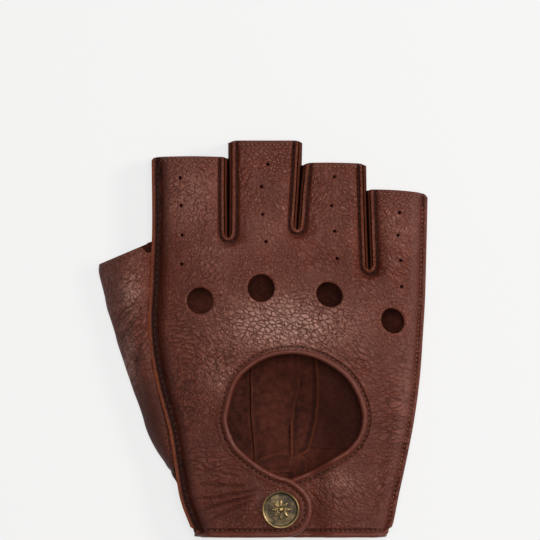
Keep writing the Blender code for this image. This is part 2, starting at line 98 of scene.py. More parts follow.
# Outsides of the bindings of the keyhole, which goes on under the tab, and of the tab.
KEYHOLE = [
    (-12.3, -37.6), (-13.5, -34.0), (-13.7, -29.5), (-10.3, -17.3), (-4.0, -10.7), (3.2, -7.0),
    (10.5, -5.9), (17.5, -6.6), (24.9, -9.7), (32.1, -15.0), (36.8, -22.5), (38.7, -30.5), (37.2, -37.5),
    (33.2, -42.6), (26.7, -46.8), (17.7, -51.8), (10.5, -54.6), (3.0, -57.6), (-2.2, -61.0), (-4.6, -66.0),
    (-4.2, -71.0), (-1.6, -74.6)]
TAB = [
    (-12.3, -38.0), (-10.0, -41.9), (-5.7, -45.9), (-0.4, -49.9), (5.4, -52.9), (10.9, -54.6),
    (15.9, -58.4), (18.6, -62.6), (19.2, -67.0), (18.2, -71.4), (15.6, -74.9), (11.8, -76.8), (6.5, HEM_Y),
    (-4.0, HEM_Y), (BEND_X, HEM_Y)]
KNUCKLES = [(-24.5, 14.9, 5.15, 5.15, 0), (-0.7, 19.9, 5.4, 5.2, 90), (25.9, 17.3, 5.3, 4.65, -38),
            (50.6, 7.1, 5.05, 4.35, -62)]       # centre, half axes and turn
# Centres of the small vent holes, four to a finger.
VENTS = [(-32.3, 62.8), (-31.9, 52.0), (-31.5, 40.5), (-31.7, 29.2),
         (2.0, 68.2), (-0.6, 59.4), (-0.1, 48.6), (1.1, 38.0),
         (27.8, 63.2), (26.8, 52.0), (28.0, 42.0), (28.9, 31.4),
         (53.2, 49.3), (52.7, 40.4), (53.7, 30.6), (54.1, 20.4)]


# ---------------------------------------------------------------- plane geometry
def smooth_path(points, step):
    """Points about `step` apart on a smooth curve through the given ones."""
    p = np.array(points, float)
    p = np.vstack([2 * p[0] - p[1], p, 2 * p[-1] - p[-2]])
    out = []
    for a, b, c, d in zip(p, p[1:], p[2:], p[3:]):
        count = max(1, round(np.linalg.norm(c - b) / step))
        for t in np.arange(count) / count:
            out.append(0.5 * (2 * b + (c - a) * t + (2 * a - 5 * b + 4 * c - d) * t ** 2
                              + (3 * b - a - 3 * c + d) * t ** 3))
    return np.array(out + [p[-2]])


def straight_path(points, step):
    """Points about `step` apart on the straight lines between the given ones."""
    p = np.array(points, float)
    out = []
    for a, b in zip(p, p[1:]):
        count = max(1, round(np.linalg.norm(b - a) / step))
        out += [a + (b - a) * t for t in np.arange(count) / count]
    return np.array(out + [p[-1]])


def even_path(path, step=1.0, count=None):
    """The same polyline with its points `step` apart, or with `count` points."""
    p = np.array(path, float)
    run = np.concatenate([[0], np.cumsum(np.linalg.norm(np.diff(p, axis=0), axis=1))])
    at = np.linspace(0, run[-1], count or max(2, round(run[-1] / step) + 1))
    return np.column_stack([np.interp(at, run, p[:, k]) for k in range(p.shape[1])])


def offset(path, distance):
    """The path moved sideways: to the left of its direction when the distance is positive."""
    p = np.array(path, float)
    t = np.gradient(p, axis=0)
    t /= np.maximum(np.linalg.norm(t, axis=1)[:, None], 1e-9)
    return p + distance * np.column_stack([-t[:, 1], t[:, 0]])


def rounded(path, times):
    """The path with its corners rounded off by averaging each point with its neighbours."""
    p = np.array(path, float)
    for _ in range(times):
        p[1:-1] = 0.25 * p[:-2] + 0.5 * p[1:-1] + 0.25 * p[2:]
    return p


def circle(centre, radius, count):
    a = 2 * np.pi * np.arange(count) / count
    return np.column_stack([centre[0] + radius * np.cos(a), centre[1] + radius * np.sin(a)])


def oval(hole, count, grow=0.0):
    cx, cy, rx, ry, turn = hole
    p = circle((0, 0), 1.0, count) * (rx + grow, ry + grow)
    c, s = math.cos(math.radians(turn)), math.sin(math.radians(turn))
    return np.column_stack([cx + p[:, 0] * c - p[:, 1] * s, cy + p[:, 0] * s + p[:, 1] * c])


def distance_to(path, x, y):
    """From each point to the nearest place on the path."""
    p = np.array(path, float)
    best = np.full(np.shape(x), 1e9)
    for a, b in zip(p, p[1:]):
        u = b - a
        t = np.clip(((x - a[0]) * u[0] + (y - a[1]) * u[1]) / max(u @ u, 1e-12), 0, 1)
        best = np.minimum(best, np.hypot(x - a[0] - t * u[0], y - a[1] - t * u[1]))
    return best


def inside(path, x, y):
    p = np.array(path, float)
    found = np.zeros(np.shape(x), bool)
    for (ax, ay), (bx, by) in zip(p, np.roll(p, -1, axis=0)):
        if ay != by:
            found ^= ((ay > y) != (by > y)) & (x < (bx - ax) * (y - ay) / (by - ay) + ax)
    return found


def ease(t):
    """From 0 to 1 with a soft start and end."""
    t = np.clip(t, 0, 1)
    return t * t * (3 - 2 * t)


def arch(distance, reach):
    """From 0 at no distance to 1 at `reach`, round at the top."""
    return np.sin(0.5 * np.pi * np.clip(distance / reach, 0, 1))


def bell(t, width):
    return np.exp(-(t / width) ** 2)


# ---------------------------------------------------------------- grain and creases
def hashed(i, j, seed):
    """A repeatable value from 0 to 1 for each cell of a grid."""
    n = (i.astype(np.int64) * 374761393 + j.astype(np.int64) * 668265263 + seed * 1442695041) & 0xFFFFFFFF
    n = ((n ^ (n >> 13)) * 1274126177) & 0xFFFFFFFF
    return ((n ^ (n >> 16)) & 0xFFFF) / 65535.0


def noise(x, y, wide, high=None, angle=0.0, seed=0):
    """Smooth noise from -1 to 1. Its features are `wide` along `angle` and `high` across it."""
    c, s = math.cos(math.radians(angle)), math.sin(math.radians(angle))
    u, v = (x * c + y * s) / wide, (y * c - x * s) / (high or wide)
    i, j = np.floor(u), np.floor(v)
    u, v = ease(u - i), ease(v - j)
    a, b = hashed(i, j, seed), hashed(i + 1, j, seed)
    c, d = hashed(i, j + 1, seed), hashed(i + 1, j + 1, seed)
    return 2 * (a + (b - a) * u + (c - a) * v + (a - b - c + d) * u * v) - 1


def pebbles(x, y, size, seed=0):
    """0 in the creases between the pebbles of the grain, 1 on top of them."""
    x = x / size + 0.35 * noise(x, y, size * 1.7, seed=seed + 7)
    y = y / size + 0.35 * noise(x, y, size * 1.7, seed=seed + 8)
    i, j = np.floor(x), np.floor(y)
    near, second = np.full(np.shape(x), 9.0), np.full(np.shape(x), 9.0)
    for di in (-1, 0, 1):
        for dj in (-1, 0, 1):
            d = np.hypot(x - i - di - 0.1 - 0.8 * hashed(i + di, j + dj, seed),
                         y - j - dj - 0.1 - 0.8 * hashed(i + di, j + dj, seed + 1))
            second = np.where(d < near, near, np.minimum(second, d))
            near = np.minimum(near, d)
    return np.clip((second - near) / 0.45, 0, 1) ** 0.6


# ---------------------------------------------------------------- the leather's surfaces
def gap_edge(gap):
    """The back's own raw edge round the gap between two fingers."""
    bottom = (gap[3][0], gap[3][1] + 1.3)
    line = straight_path(gap[:3] + [bottom] + gap[4:], 1.5)
    return rounded(even_path(offset(line, -FOURCHETTE), 0.5), 8)


GAP_EDGE = [gap_edge(g) for g in GAPS]
TOP_LINES = [smooth_path(t, 2.0) for t in TOPS]
INDEX_LINE = smooth_path(INDEX_SIDE, 3.0)
LITTLE_LINE = smooth_path(LITTLE_SIDE, 3.0)
KEYHOLE_LINE = smooth_path(KEYHOLE, 1.5)
TAB_LINE = smooth_path(TAB, 1.5)


def dome(x, y):
    """Underside of the back, without relief and without the overlap at the wrist."""
    left, right = distance_to(INDEX_LINE, x, y) - 3.4, distance_to(LITTLE_LINE, x, y) - 2.4
    crown = np.interp(y, [-77, -50, -22, -5, 5, 14, 28, 50, 77],
                      [13.2, 14.4, 15.8, 16.8, 17.1, 16.8, 14.9, 12.0, 11.4])
    reach = np.interp(y, [-77, 0, 25, 42], [28, 31, 24, 9])
    between = np.min([distance_to(g, x, y) + 1.3 * np.clip(g[3][1] - 0.5 - y, 0, None) for g in GAPS], axis=0)
    z = Z_SEAM + (Z_FINGER - Z_SEAM) * arch(np.minimum(left, right), SEAM_ROLL)
    return z + (crown - Z_FINGER) * arch(np.minimum(left, right), reach) * arch(between - 2.6, 5.0)


SNAP_LEVEL = 13.685                      # the leather is pressed flat between the halves of the fastener


def flat_at_snap(x, y, z):
    """Heights evened out to the fastener's level round it."""
    r = np.hypot(x - SNAP[0], y - SNAP[1])
    return SNAP_LEVEL + (z - SNAP_LEVEL) * ease((r - 7.0) / 8.0)


def creased(x, y, wide, high, angle, seed):
    """0 along thin creases that run mostly along `angle`, 1 between them."""
    return np.clip(abs(noise(x, y, wide, high, angle, seed)) * 2.2, 0, 1) ** 0.6


def spot(x, y, cx, cy, rx, ry):
    """1 at the centre of an oval patch, falling off softly past its half widths."""
    return bell(np.hypot((x - cx) / rx, (y - cy) / ry), 1.0)


PEBBLE_TURN, PEBBLE_STRETCH = -27, 1.5   # direction of the large pebbles, how much longer they are along it
# Where creases gather: centre, half widths, their length, spacing and direction, depth and how much painted
# shade darkens them.
FOLDS = [
    (10, 6, 26, 13, 6.0, 1.35, -27, 0.30, 0.36), (12, 5, 24, 12, 3.2, 1.5, 52, 0.20, 0.16),
    (-18, -8, 12, 13, 4.0, 1.8, -35, 0.30, 0.50), (-17, -8, 11, 12, 3.2, 1.6, 48, 0.25, 0.40),
    (-32, 2, 9, 16, 11.0, 1.7, 4, 0.24, 0.42), (-33, -25, 9, 17, 10.0, 1.7, 22, 0.26, 0.50),
    (-24, -50, 16, 10, 14.0, 2.4, 16, 0.20, 0.40),
    (42, 27, 13, 11, 9.0, 1.7, -47, 0.24, 0.45), (22, 33, 12, 8, 8.0, 1.7, -30, 0.20, 0.35),
    (53, 30, 7, 16, 6.0, 1.7, -58, 0.17, 0.30), (53, 50, 8, 8, 4.0, 1.6, 40, 0.15, 0.3),
    (-22, 27, 10, 9, 8.0, 1.7, 48, 0.20, 0.35), (-22, 46, 7, 10, 6.0, 1.6, 62, 0.17, 0.3),
    (-34, 57, 9, 14, 4.5, 1.7, 28, 0.20, 0.35), (-22, 63, 7, 8, 4.0, 1.5, -30, 0.16, 0.3),
    (-8, 62, 6, 14, 4.0, 1.6, 58, 0.20, 0.35), (8, 50, 7, 13, 5.0, 1.6, -55, 0.15, 0.3),
    (22, 55, 7, 12, 6.0, 1.7, 40, 0.18, 0.35), (34, 55, 6, 14, 4.0, 1.6, -60, 0.17, 0.3),
    (52, -30, 9, 21, 9.0, 1.6, -4, 0.42, 0.58), (30, -60, 12, 8, 4.5, 1.6, -40, 0.34, 0.48),
    (49, -58, 8, 12, 8.0, 1.8, 68, 0.28, 0.42), (57, -5, 5, 26, 7.0, 1.7, 62, 0.14, 0.25),
    (38, -8, 9, 10, 6.0, 1.6, -50, 0.24, 0.38),
]
# Where the pebbles are large and their tops get a painted highlight besides the middle of the hand: centre,
# half widths and how much.
PEBBLES_AND_HIGHLIGHTS = [(-28, 56, 10, 14, 0.40), (-18, 34, 9, 8, 0.28), (2, 44, 9, 9, 0.22), (26, 46, 9, 10, 0.12),
        (52, 44, 9, 12, 0.22), (31, -56, 10, 7, 0.36), (-16, -14, 9, 9, 0.34), (55, -18, 4, 26, 0.20)]
# Where painted shade darkens the leather over a wide area: centre, half widths and how much.
SHADED_AREAS = [(-33, -35, 13, 27, 0.22), (46, -46, 15, 22, 0.24), (48, -10, 12, 16, 0.14), (27, 50, 9, 16, 0.12)]


def grain_parts(x, y):
    """Height of the grain and of the creases that wear has left in the back, and how much painted shade
    darkens the creases and some wider areas.
    """
    bx = x + 2.0 * noise(x, y, 11, seed=1) + 0.5 * noise(x, y, 3.5, seed=5)
    by = y + 2.0 * noise(x, y, 12, seed=2) + 0.5 * noise(x, y, 3.5, seed=6)
    centre = spot(x, y, 10, 5, 28, 13)
    fine = 0.55 + 0.45 * noise(x, y, 17.0, seed=9)
    smooth = np.clip(1 - spot(x, y, -12, 31, 12, 7) - 0.8 * spot(x, y, 46, 16, 9, 7), 0.1, 1)
    c, s = math.cos(math.radians(PEBBLE_TURN)), math.sin(math.radians(PEBBLE_TURN))
    big = pebbles((bx * c + by * s) / PEBBLE_STRETCH, by * c - bx * s, 1.45)
    small = pebbles(bx, by, 1.15, seed=5)
    z = (0.04 + 0.12 * centre) * (big - 0.6) + 0.05 * fine * smooth * (small - 0.6)
    # dark is painted shade: in the creases between the pebbles, in the folds and over the shaded areas.
    dark = (0.05 + 0.17 * centre) * (1 - big) + 0.12 * fine * smooth * (1 - small)
    for number, (cx, cy, rx, ry, wide, high, angle, depth, deep) in enumerate(FOLDS):
        here = spot(x, y, cx, cy, rx, ry)
        lines = creased(bx, by, wide, high, angle, 200 + number)
        z = z + 1.15 * depth * here * (lines - 0.6)
        dark = dark + deep * here * (1 - lines) * 0.8
    for cx, cy, rx, ry, amount in SHADED_AREAS:
        dark = dark + amount * spot(x, y, cx, cy, rx, ry)
    z = z + 0.14 * noise(x, y, 10.0, seed=3) + 0.07 * noise(x, y, 4.5, seed=4)
    return z, np.clip(dark, 0, 0.85)


def grain_fields(x, y):
    """Which way the finest creases run, for the material: pebbles, falling, rising or level ones. Where the
    big field is high, the pebble tops also get a painted highlight.
    """
    fields = {"big": 0.95 * spot(x, y, 9, 6, 27, 12), "falling": 0 * x, "rising": 0 * x, "level": 0 * x}
    for cx, cy, rx, ry, amount in PEBBLES_AND_HIGHLIGHTS:
        fields["big"] = np.maximum(fields["big"], amount * spot(x, y, cx, cy, rx, ry))
    for cx, cy, rx, ry, _, _, angle, depth, _ in FOLDS:
        name = "level" if abs(angle) < 20 else "rising" if angle > 0 else "falling"
        fields[name] = np.maximum(fields[name], min(1.0, 3.6 * depth) * spot(x, y, cx, cy, rx, ry))
    for name in ("falling", "rising", "level"):
        fields[name] = fields[name] * (1 - 0.6 * fields["big"])
    return fields


NECK = (9.0, -56.5)                      # the narrow part of the tab, where the pull on it gathers
TAB_CREASES = [(171, 0.40, 17, 42), (181, 0.55, 14, 42), (190, 0.62, 10, 44), (198, 0.70, 11, 44),
               (206, 0.50, 14, 42), (216, 0.30, 19, 36)]      # direction, depth, start and end


def snap_creases(x, y):
    """Creases that spread over the tab from its neck towards the thumb side."""
    z = 0.0
    for angle, depth, near, far in TAB_CREASES:
        c, s = math.cos(math.radians(angle)), math.sin(math.radians(angle))
        along = (x - NECK[0]) * c + (y - NECK[1]) * s
        across = (y - NECK[1]) * c - (x - NECK[0]) * s + 0.8 * noise(x, y, 6.0, seed=31)
        there = ease((along - near) / 4.0) * ease((far - along) / 16)
        z = z - depth * bell(across, 0.62) * there + 0.55 * depth * bell(across - 1.35, 0.75) * there
    return z


def back_marks(x, y):
    """Distances that shape the back's edges: to its raw edges, finger tops, keyhole and holes."""
    return {"left": distance_to(INDEX_LINE, x, y), "right": distance_to(LITTLE_LINE, x, y),
            "gap": np.min([distance_to(g, x, y) for g in GAP_EDGE], axis=0),
            "top": np.min([distance_to(t, x, y) for t in TOP_LINES], axis=0),
            "keyhole": distance_to(KEYHOLE_LINE, x, y),
            "hole": np.min([distance_to(oval(h, 65)[[*range(65), 0]], x, y) for h in KNUCKLES], axis=0),
            "vent": np.min([np.hypot(x - a, y - b) for a, b in VENTS], axis=0) - VENT_R}


def edge_relief(d, x, y):
    """Raised raw edges with a valley behind them, hems, stitch grooves and punched edges."""
    wave = 0.16 * noise(x, y, 5.0, seed=41) + 0.10 * noise(x, y, 1.6, seed=42)
    z = 1.5 * (1 - ease((d["left"] - 0.7 - wave) / 1.7)) - 0.85 * bell(d["left"] - 3.1, 0.8)
    z += 0.35 * bell(d["left"] - 5.4, 1.3)
    z += 1.15 * (1 - ease((d["gap"] - 0.95 - wave) / 0.45)) - 0.95 * bell(d["gap"] - 1.75, 0.5)
    z += 0.25 * bell(d["gap"] - 3.1, 0.8)
    z -= 0.5 * (1 - ease(d["right"] / 0.7))
    z -= (0.6 + 0.25 * noise(x, y, 3.0, seed=44)) * bell(d["right"] - 2.0, 0.5)
    z += 0.32 * bell(d["right"] - 3.4, 0.9)
    z -= 0.85 * (1 - ease(d["top"] / 1.0)) + 0.22 * bell(d["top"] - 1.6, 0.35)
    z -= 0.55 * bell(d["keyhole"] - STITCH_ROW, 0.30) - 0.34 * bell(d["keyhole"] - RIDGE_ROW, 0.42)
    z += 0.14 * bell(d["hole"] - 0.9, 0.6) - 0.3 * (1 - ease(d["hole"] / 0.45))
    z -= 0.3 * (1 - ease(d["vent"] / 0.55))
    z -= 0.55 * bell(y - HEM_Y - STITCH_ROW, 0.30) - 0.30 * bell(y - HEM_Y - RIDGE_ROW, 0.42)
    return z


def back_base(x, y):
    """Underside of the back, without relief."""
    z = dome(x, y)
    flap = (x > -10) & (y < -38)
    dip = UNDERLAP_DIP * ease((29.0 - x) / 11.0) * ease((-40.0 - y) / 10.0)
    return np.where(flap, flat_at_snap(x, y, z) - dip, z)


def back_top(x, y):
    x, y = np.asarray(x, float), np.asarray(y, float)
    d = back_marks(x, y)
    calm = ease(np.minimum(np.minimum(d["left"] - 2.5, d["gap"] * 1.4 - 1), d["hole"] * 2 - 0.3) / 2.5)
    pull = np.where(x < -10, snap_creases(x, y), 0) * ease((d["left"] - 5) / 4)
    relief = (grain_parts(x, y)[0] + pull) * (0.25 + 0.75 * calm)
    return back_base(x, y) + LEATHER + relief + edge_relief(d, x, y)


def tab_base(x, y):
    """Underside of the tab, without relief."""
    return flat_at_snap(x, y, dome(x, y)) + TAB_RAISE * ease((x - BEND_X) / TAB_RISE)


def tab_top(x, y):
    x, y = np.asarray(x, float), np.asarray(y, float)
    edge = distance_to(TAB_LINE, x, y)
    r = np.hypot(x - SNAP[0], y - SNAP[1])
    z = tab_base(x, y) + LEATHER + (grain_parts(x, y)[0] + snap_creases(x, y)) * ease((r - 6.8) / 1.5)
    return z - 0.55 * bell(edge - STITCH_ROW, 0.30) + 0.34 * bell(edge - RIDGE_ROW, 0.42)


def palm_base(x, y):
    """Underside of the palm: flat on the floor, and rising to the side seams."""
    rise = 0.0
    for seam, joined in ((INDEX_LINE, ease((y - 39.0) / 7.0) + ease((-44.0 - y) / 7.0)), (LITTLE_LINE, 1.0)):
        roll = 1 - arch(distance_to(seam, x, y) - FIN, SIDE_REACH)
        rise = np.maximum(rise, (Z_SEAM - LEATHER - 0.15) * roll * joined)
    return rise


# ---------------------------------------------------------------- materials
class Look:
    """A material under construction, with short names for the nodes that it is made of."""

    def __init__(self, name, gloss=0.5):
        self.material = bpy.data.materials.new(name)
        self.material.use_nodes = True
        self.tree = self.material.node_tree
        self.tree.nodes.clear()
        self.shader = self.add("BsdfPrincipled")
        self.shader.inputs["Specular IOR Level"].default_value = gloss
        self.add("OutputMaterial", {"Surface": self.shader.outputs[0]})
        self.where = self.add("TexCoord").outputs["Object"]

    def add(self, kind, inputs=(), **settings):
        """A node with its settings, and its inputs set to numbers or linked to sockets."""
        node = self.tree.nodes.new("ShaderNode" + kind)
        for key, value in settings.items():
            setattr(node, key, value)
        for key, value in dict(inputs).items():
            if isinstance(value, bpy.types.NodeSocket):
                self.tree.links.new(value, node.inputs[key])
            else:
                node.inputs[key].default_value = value
        return node

    def maths(self, operation, a, b=0.0, c=0.0, clamp=False):
        return self.add("Math", {0: a, 1: b, 2: c}, operation=operation, use_clamp=clamp).outputs[0]

    def times(self, a, b):
        return self.maths("MULTIPLY", a, b)

    def times_plus(self, a, b, c, clamp=False):
        return self.maths("MULTIPLY_ADD", a, b, c, clamp)

    def mark(self, name):
        """What a mesh says about each of its points, such as raw or shade."""
        return self.add("Attribute", attribute_name=name).outputs["Fac"]

    def noise(self, scale, detail, roughness=0.5):
        return self.add("TexNoise", {"Vector": self.where, "Scale": float(scale), "Detail": detail,
                                     "Roughness": roughness}).outputs[0]

    def ramp(self, value, start, end, low=0.0, high=1.0):
        """From `start` where the value is `low` to `end` where it is `high`."""
        return self.add("MapRange", {0: value, 1: low, 2: high, 3: start, 4: end}).outputs[0]

    def mix(self, factor, a, b):
        a, b = (v if isinstance(v, bpy.types.NodeSocket) else (*v, 1) for v in (a, b))
        return self.add("Mix", {0: factor, 6: a, 7: b}, data_type="RGBA").outputs[2]

    def cells(self, where, scale, angle=0.0, stretch=1.0):
        """0 in the creases between cells, 1 on them. The cells are `stretch` times longer along `angle`."""
        turned_to = self.add("Mapping", {"Vector": where, "Rotation": (0, 0, math.radians(angle)),
                                         "Scale": (stretch, 1, 1)}, vector_type="TEXTURE").outputs[0]
        edge = self.add("TexVoronoi", {"Vector": turned_to, "Scale": scale}, feature="DISTANCE_TO_EDGE")
        return self.add("MapRange", {0: edge.outputs["Distance"], 1: 0.0, 2: 0.19},
                        interpolation_type="SMOOTHSTEP").outputs[0]

    def finished(self, colour, roughness, bump, depth, height):
        """The material, with its bumps `depth` metres high."""
        bumped = self.add("Bump", {"Strength": bump, "Distance": depth, "Height": height}).outputs[0]
        for key, value in (("Base Color", colour), ("Roughness", roughness), ("Normal", bumped)):
            self.tree.links.new(value, self.shader.inputs[key])
        return self.material


def darker(colour, amount):
    return tuple(amount * c for c in colour)


RAW, RAW_LIGHT = (0.085, 0.018, 0.007), (0.250, 0.060, 0.020)          # the tan of cut edges
PEBBLE_HIGHLIGHT = (0.56, 0.32, 0.265)             # pale tint of the painted highlight on the pebble tops
# The finest creases: where they run, cells to the metre, direction, stretch and weight.
CREASES = (("big", 640, PEBBLE_TURN, PEBBLE_STRETCH, 1.25), ("falling", 600, -38, 2.6, 0.85),
           ("rising", 600, 48, 2.6, 0.85), ("level", 520, 5, 3.2, 0.8))


def leather(name, dark, light, size=1.0, bump=1.0, rough=(0.29, 0.50), gloss=0.38):
    """Pebbled leather: creases painted darker (painted shade) and duller than the pebbles, a painted
    highlight on the pebble tops where marked big, raw edges tan, painted shade in the hollows marked shade.
    """
    look = Look(name, gloss)
    warp = look.add("TexNoise", {"Vector": look.where, "Scale": 230.0, "Detail": 2.0}).outputs["Color"]
    shift = look.add("VectorMath", {0: warp, 1: (0.0026, 0.0026, 0.0026)}, operation="MULTIPLY").outputs[0]
    bent = look.add("VectorMath", {0: look.where, 1: shift}, operation="ADD").outputs[0]
    patches = look.ramp(look.noise(70, 1.0), 0.25, 1.0, 0.35, 0.62)
    gathered = look.mark("big")
    for field in ("falling", "rising", "level"):
        gathered = look.maths("MAXIMUM", gathered, look.mark(field))
    even = look.times(look.cells(bent, 700 * size), patches)
    grain = look.times(even, look.maths("SUBTRACT", 0.52, look.times(0.38, gathered)))
    for field, scale, angle, stretch, weight in CREASES:
        lines = look.cells(bent, scale * size, angle, stretch)
        grain = look.times_plus(look.times(lines, weight), look.mark(field), grain)
    height = look.times_plus(look.noise(2600, 3.0), 0.14, grain)
    height = look.times_plus(look.cells(bent, 1500 * size), 0.12, height)
    height = look.times_plus(look.noise(430, 1.5), 1.1, height)
    mottle = look.noise(95, 5.0, 0.62)
    # The tone paints the grain's creases darker and its pebbles lighter (painted shade), with random mottle.
    tone = look.times_plus(grain, 0.55, look.times_plus(mottle, 0.60, -0.26))
    tone = look.times_plus(look.noise(22, 2.0), 0.45, tone, clamp=True)
    # Painted highlight: pebble tops mixed towards a pale tint where marked big.
    shine = look.times(look.mark("big"), look.times(look.maths("POWER", tone, 1.8), 0.95))
    hollow = look.mark("shade")
    colour = look.mix(shine, look.mix(tone, dark, light), PEBBLE_HIGHLIGHT)
    colour = look.mix(look.mark("raw"), colour, look.mix(mottle, RAW, RAW_LIGHT))
    # Painted shade in the hollows marked shade.
    colour = look.mix(look.times(hollow, 0.85), colour, darker(dark, 0.36))
    dull = look.ramp(look.times_plus(mottle, 0.5, grain), rough[1], rough[0], 0.2, 1.1)
    dull = look.times_plus(look.maths("MAXIMUM", look.mark("raw"), hollow), 0.5, dull, clamp=True)
    return look.finished(colour, dull, bump, 0.00046, height)


def suede(name, dark, light, scale=420):
    """The flesh side of leather, or a cut edge: dull, with a short nap, and painted shade where marked shade.
    """
    look = Look(name, 0.12)
    look.shader.inputs["Sheen Weight"].default_value = 0.15
    nap = look.noise(scale, 8.0, 0.7)
    tone = look.times_plus(nap, 2.2, look.times_plus(look.noise(60, 4.0), 1.6, -1.5), clamp=True)
    colour = look.mix(look.mark("raw"), look.mix(tone, dark, light), darker(RAW_LIGHT, 0.6))
    colour = look.mix(look.times(look.mark("shade"), 0.85), colour, darker(dark, 0.2))
    return look.finished(colour, look.ramp(nap, 0.95, 0.72), 0.5, 0.0006, nap)


def metal(name, dark, light):
    """Metal with patina in the hollows, bright where it is rubbed."""
    look = Look(name)
    look.shader.inputs["Metallic"].default_value = 1.0
    speck = look.noise(900, 6.0, 0.65)
    clouds = look.times_plus(look.noise(260, 3.0), 0.7, look.times_plus(speck, 0.5, -0.56))
    worn = look.times_plus(look.mark("worn"), 0.9, clouds, clamp=True)
    return look.finished(look.mix(worn, dark, light), look.ramp(worn, 0.55, 0.28), 0.25, 0.0002, speck)


def thread(name, dark, light):
    """Waxed sewing thread: fine twisted strands."""
    look = Look(name)
    twist = look.add("TexWave", {"Vector": look.where, "Scale": 900.0, "Distortion": 2.0, "Detail": 1.0},
                     bands_direction="DIAGONAL").outputs["Fac"]
    tone = look.times_plus(twist, 0.5, look.times_plus(look.noise(500, 4.0), 0.8, -0.2), clamp=True)
    return look.finished(look.mix(tone, dark, light), look.ramp(twist, 0.7, 0.45), 0.4, 0.0002, twist)


BACK = leather("Pebbled leather", (0.060, 0.0100, 0.0045), (0.205, 0.0430, 0.0215))
THUMB_SKIN = leather("Thumb leather", (0.054, 0.0092, 0.0042), (0.210, 0.047, 0.025), size=0.95,
                     rough=(0.30, 0.48), gloss=0.34)
PALM_SKIN = leather("Palm leather", (0.056, 0.012, 0.007), (0.130, 0.034, 0.021), size=0.85, bump=0.8)
BINDING_SKIN = leather("Rolled binding leather", (0.082, 0.0140, 0.0065), (0.185, 0.040, 0.021), size=1.5,
                       bump=0.35, rough=(0.30, 0.46), gloss=0.40)
FLESH = suede("Flesh side", (0.030, 0.0062, 0.0036), (0.105, 0.026, 0.0155))
FLESH_SMOOTH = suede("Smooth inner leather", (0.036, 0.0085, 0.0060), (0.078, 0.0195, 0.0135), scale=700)
RAW_EDGE = suede("Cut edge of the leather", (0.085, 0.022, 0.010), (0.21, 0.060, 0.026), scale=900)
BRASS = metal("Antique brass", (0.050, 0.042, 0.032), (0.66, 0.47, 0.21))
STEEL = metal("Spring wire", (0.30, 0.30, 0.30), (0.60, 0.60, 0.60))
HEM_THREAD = thread("Light tan thread", (0.14, 0.046, 0.025), (0.33, 0.14, 0.09))
TAN_THREAD = thread("Tan thread", (0.085, 0.026, 0.014), (0.210, 0.080, 0.050))
DARK_THREAD = thread("Red-brown thread", (0.034, 0.0085, 0.0055), (0.105, 0.034, 0.022))


# ---------------------------------------------------------------- mesh builders
def mesh_object(name, verts, faces, mats, face_mats=None, marks=(), angle=50):
    mesh = bpy.data.meshes.new(name)
    mesh.from_pydata((np.asarray(verts) * MM).tolist(), [], [list(map(int, f)) for f in faces])
    for mat in mats:
        mesh.materials.append(mat)
    if face_mats is not None:
        mesh.polygons.foreach_set("material_index", np.asarray(face_mats, np.int32))
    for key, values in dict(marks).items():
        mesh.attributes.new(key, "FLOAT", "POINT").data.foreach_set("value", np.asarray(values, np.float32))
    mesh.shade_smooth()
    mesh.set_sharp_from_angle(angle=math.radians(angle))
    mesh.update()
    obj = bpy.data.objects.new(name, mesh)
    bpy.context.scene.collection.objects.link(obj)
    return obj


def between(loops, x, y):
    """Whether points are inside the first loop and outside the others."""
    found = inside(loops[0], x, y)
    for hole in loops[1:]:
        found &= ~inside(hole, x, y)
    return found


def filled(outline, holes, spacing, rings):
    """Points and triangles that fill an outline round its holes. Rings are paths with points of their own."""
    loops = [np.array(loop, float) for loop in [outline] + list(holes)]
    low, high = loops[0].min(axis=0), loops[0].max(axis=0)
    rows = np.arange(low[1], high[1], spacing * 0.866)
    cols = np.arange(low[0], high[0], spacing)
    lattice = np.array([(x + (i % 2) * spacing / 2, y) for i, y in enumerate(rows) for x in cols])
    clouds = [(lattice, 0.55 * spacing, rings)]
    if rings:
        clouds.append((np.vstack([ring[:, :2] for ring in rings]), 0.25, ()))
    points = []
    for cloud, room, others in clouds:
        cloud = cloud[between(loops, cloud[:, 0], cloud[:, 1])]
        keep = np.ones(len(cloud), bool)
        for loop in loops:
            keep &= distance_to(np.vstack([loop, loop[:1]]), cloud[:, 0], cloud[:, 1]) > room
        cloud = cloud[keep]
        keep = np.ones(len(cloud), bool)
        for ring in others:
            keep &= distance_to(ring, cloud[:, 0], cloud[:, 1]) > 0.45 * spacing
        points.append(cloud[keep])
    edges, count = [], 0
    for loop in loops:
        edges += [(count + i, count + (i + 1) % len(loop)) for i in range(len(loop))]
        count += len(loop)
    found = delaunay_2d_cdt([tuple(p) for p in np.vstack(loops + points)], edges, [], 0, 1e-5)
    flat, faces = np.array([tuple(v) for v in found[0]]), np.array(found[2])
    middle = flat[faces].mean(axis=1)
    faces = faces[between(loops, middle[:, 0], middle[:, 1])]
    a, b, c = flat[faces[:, 0]], flat[faces[:, 1]], flat[faces[:, 2]]
    area = (b[:, 0] - a[:, 0]) * (c[:, 1] - a[:, 1]) - (b[:, 1] - a[:, 1]) * (c[:, 0] - a[:, 0])
    faces[area < 0] = faces[area < 0][:, ::-1]
    faces = faces[abs(area) > 1e-7]
    used, index = np.unique(faces, return_inverse=True)
    return flat[used], index.reshape(faces.shape)


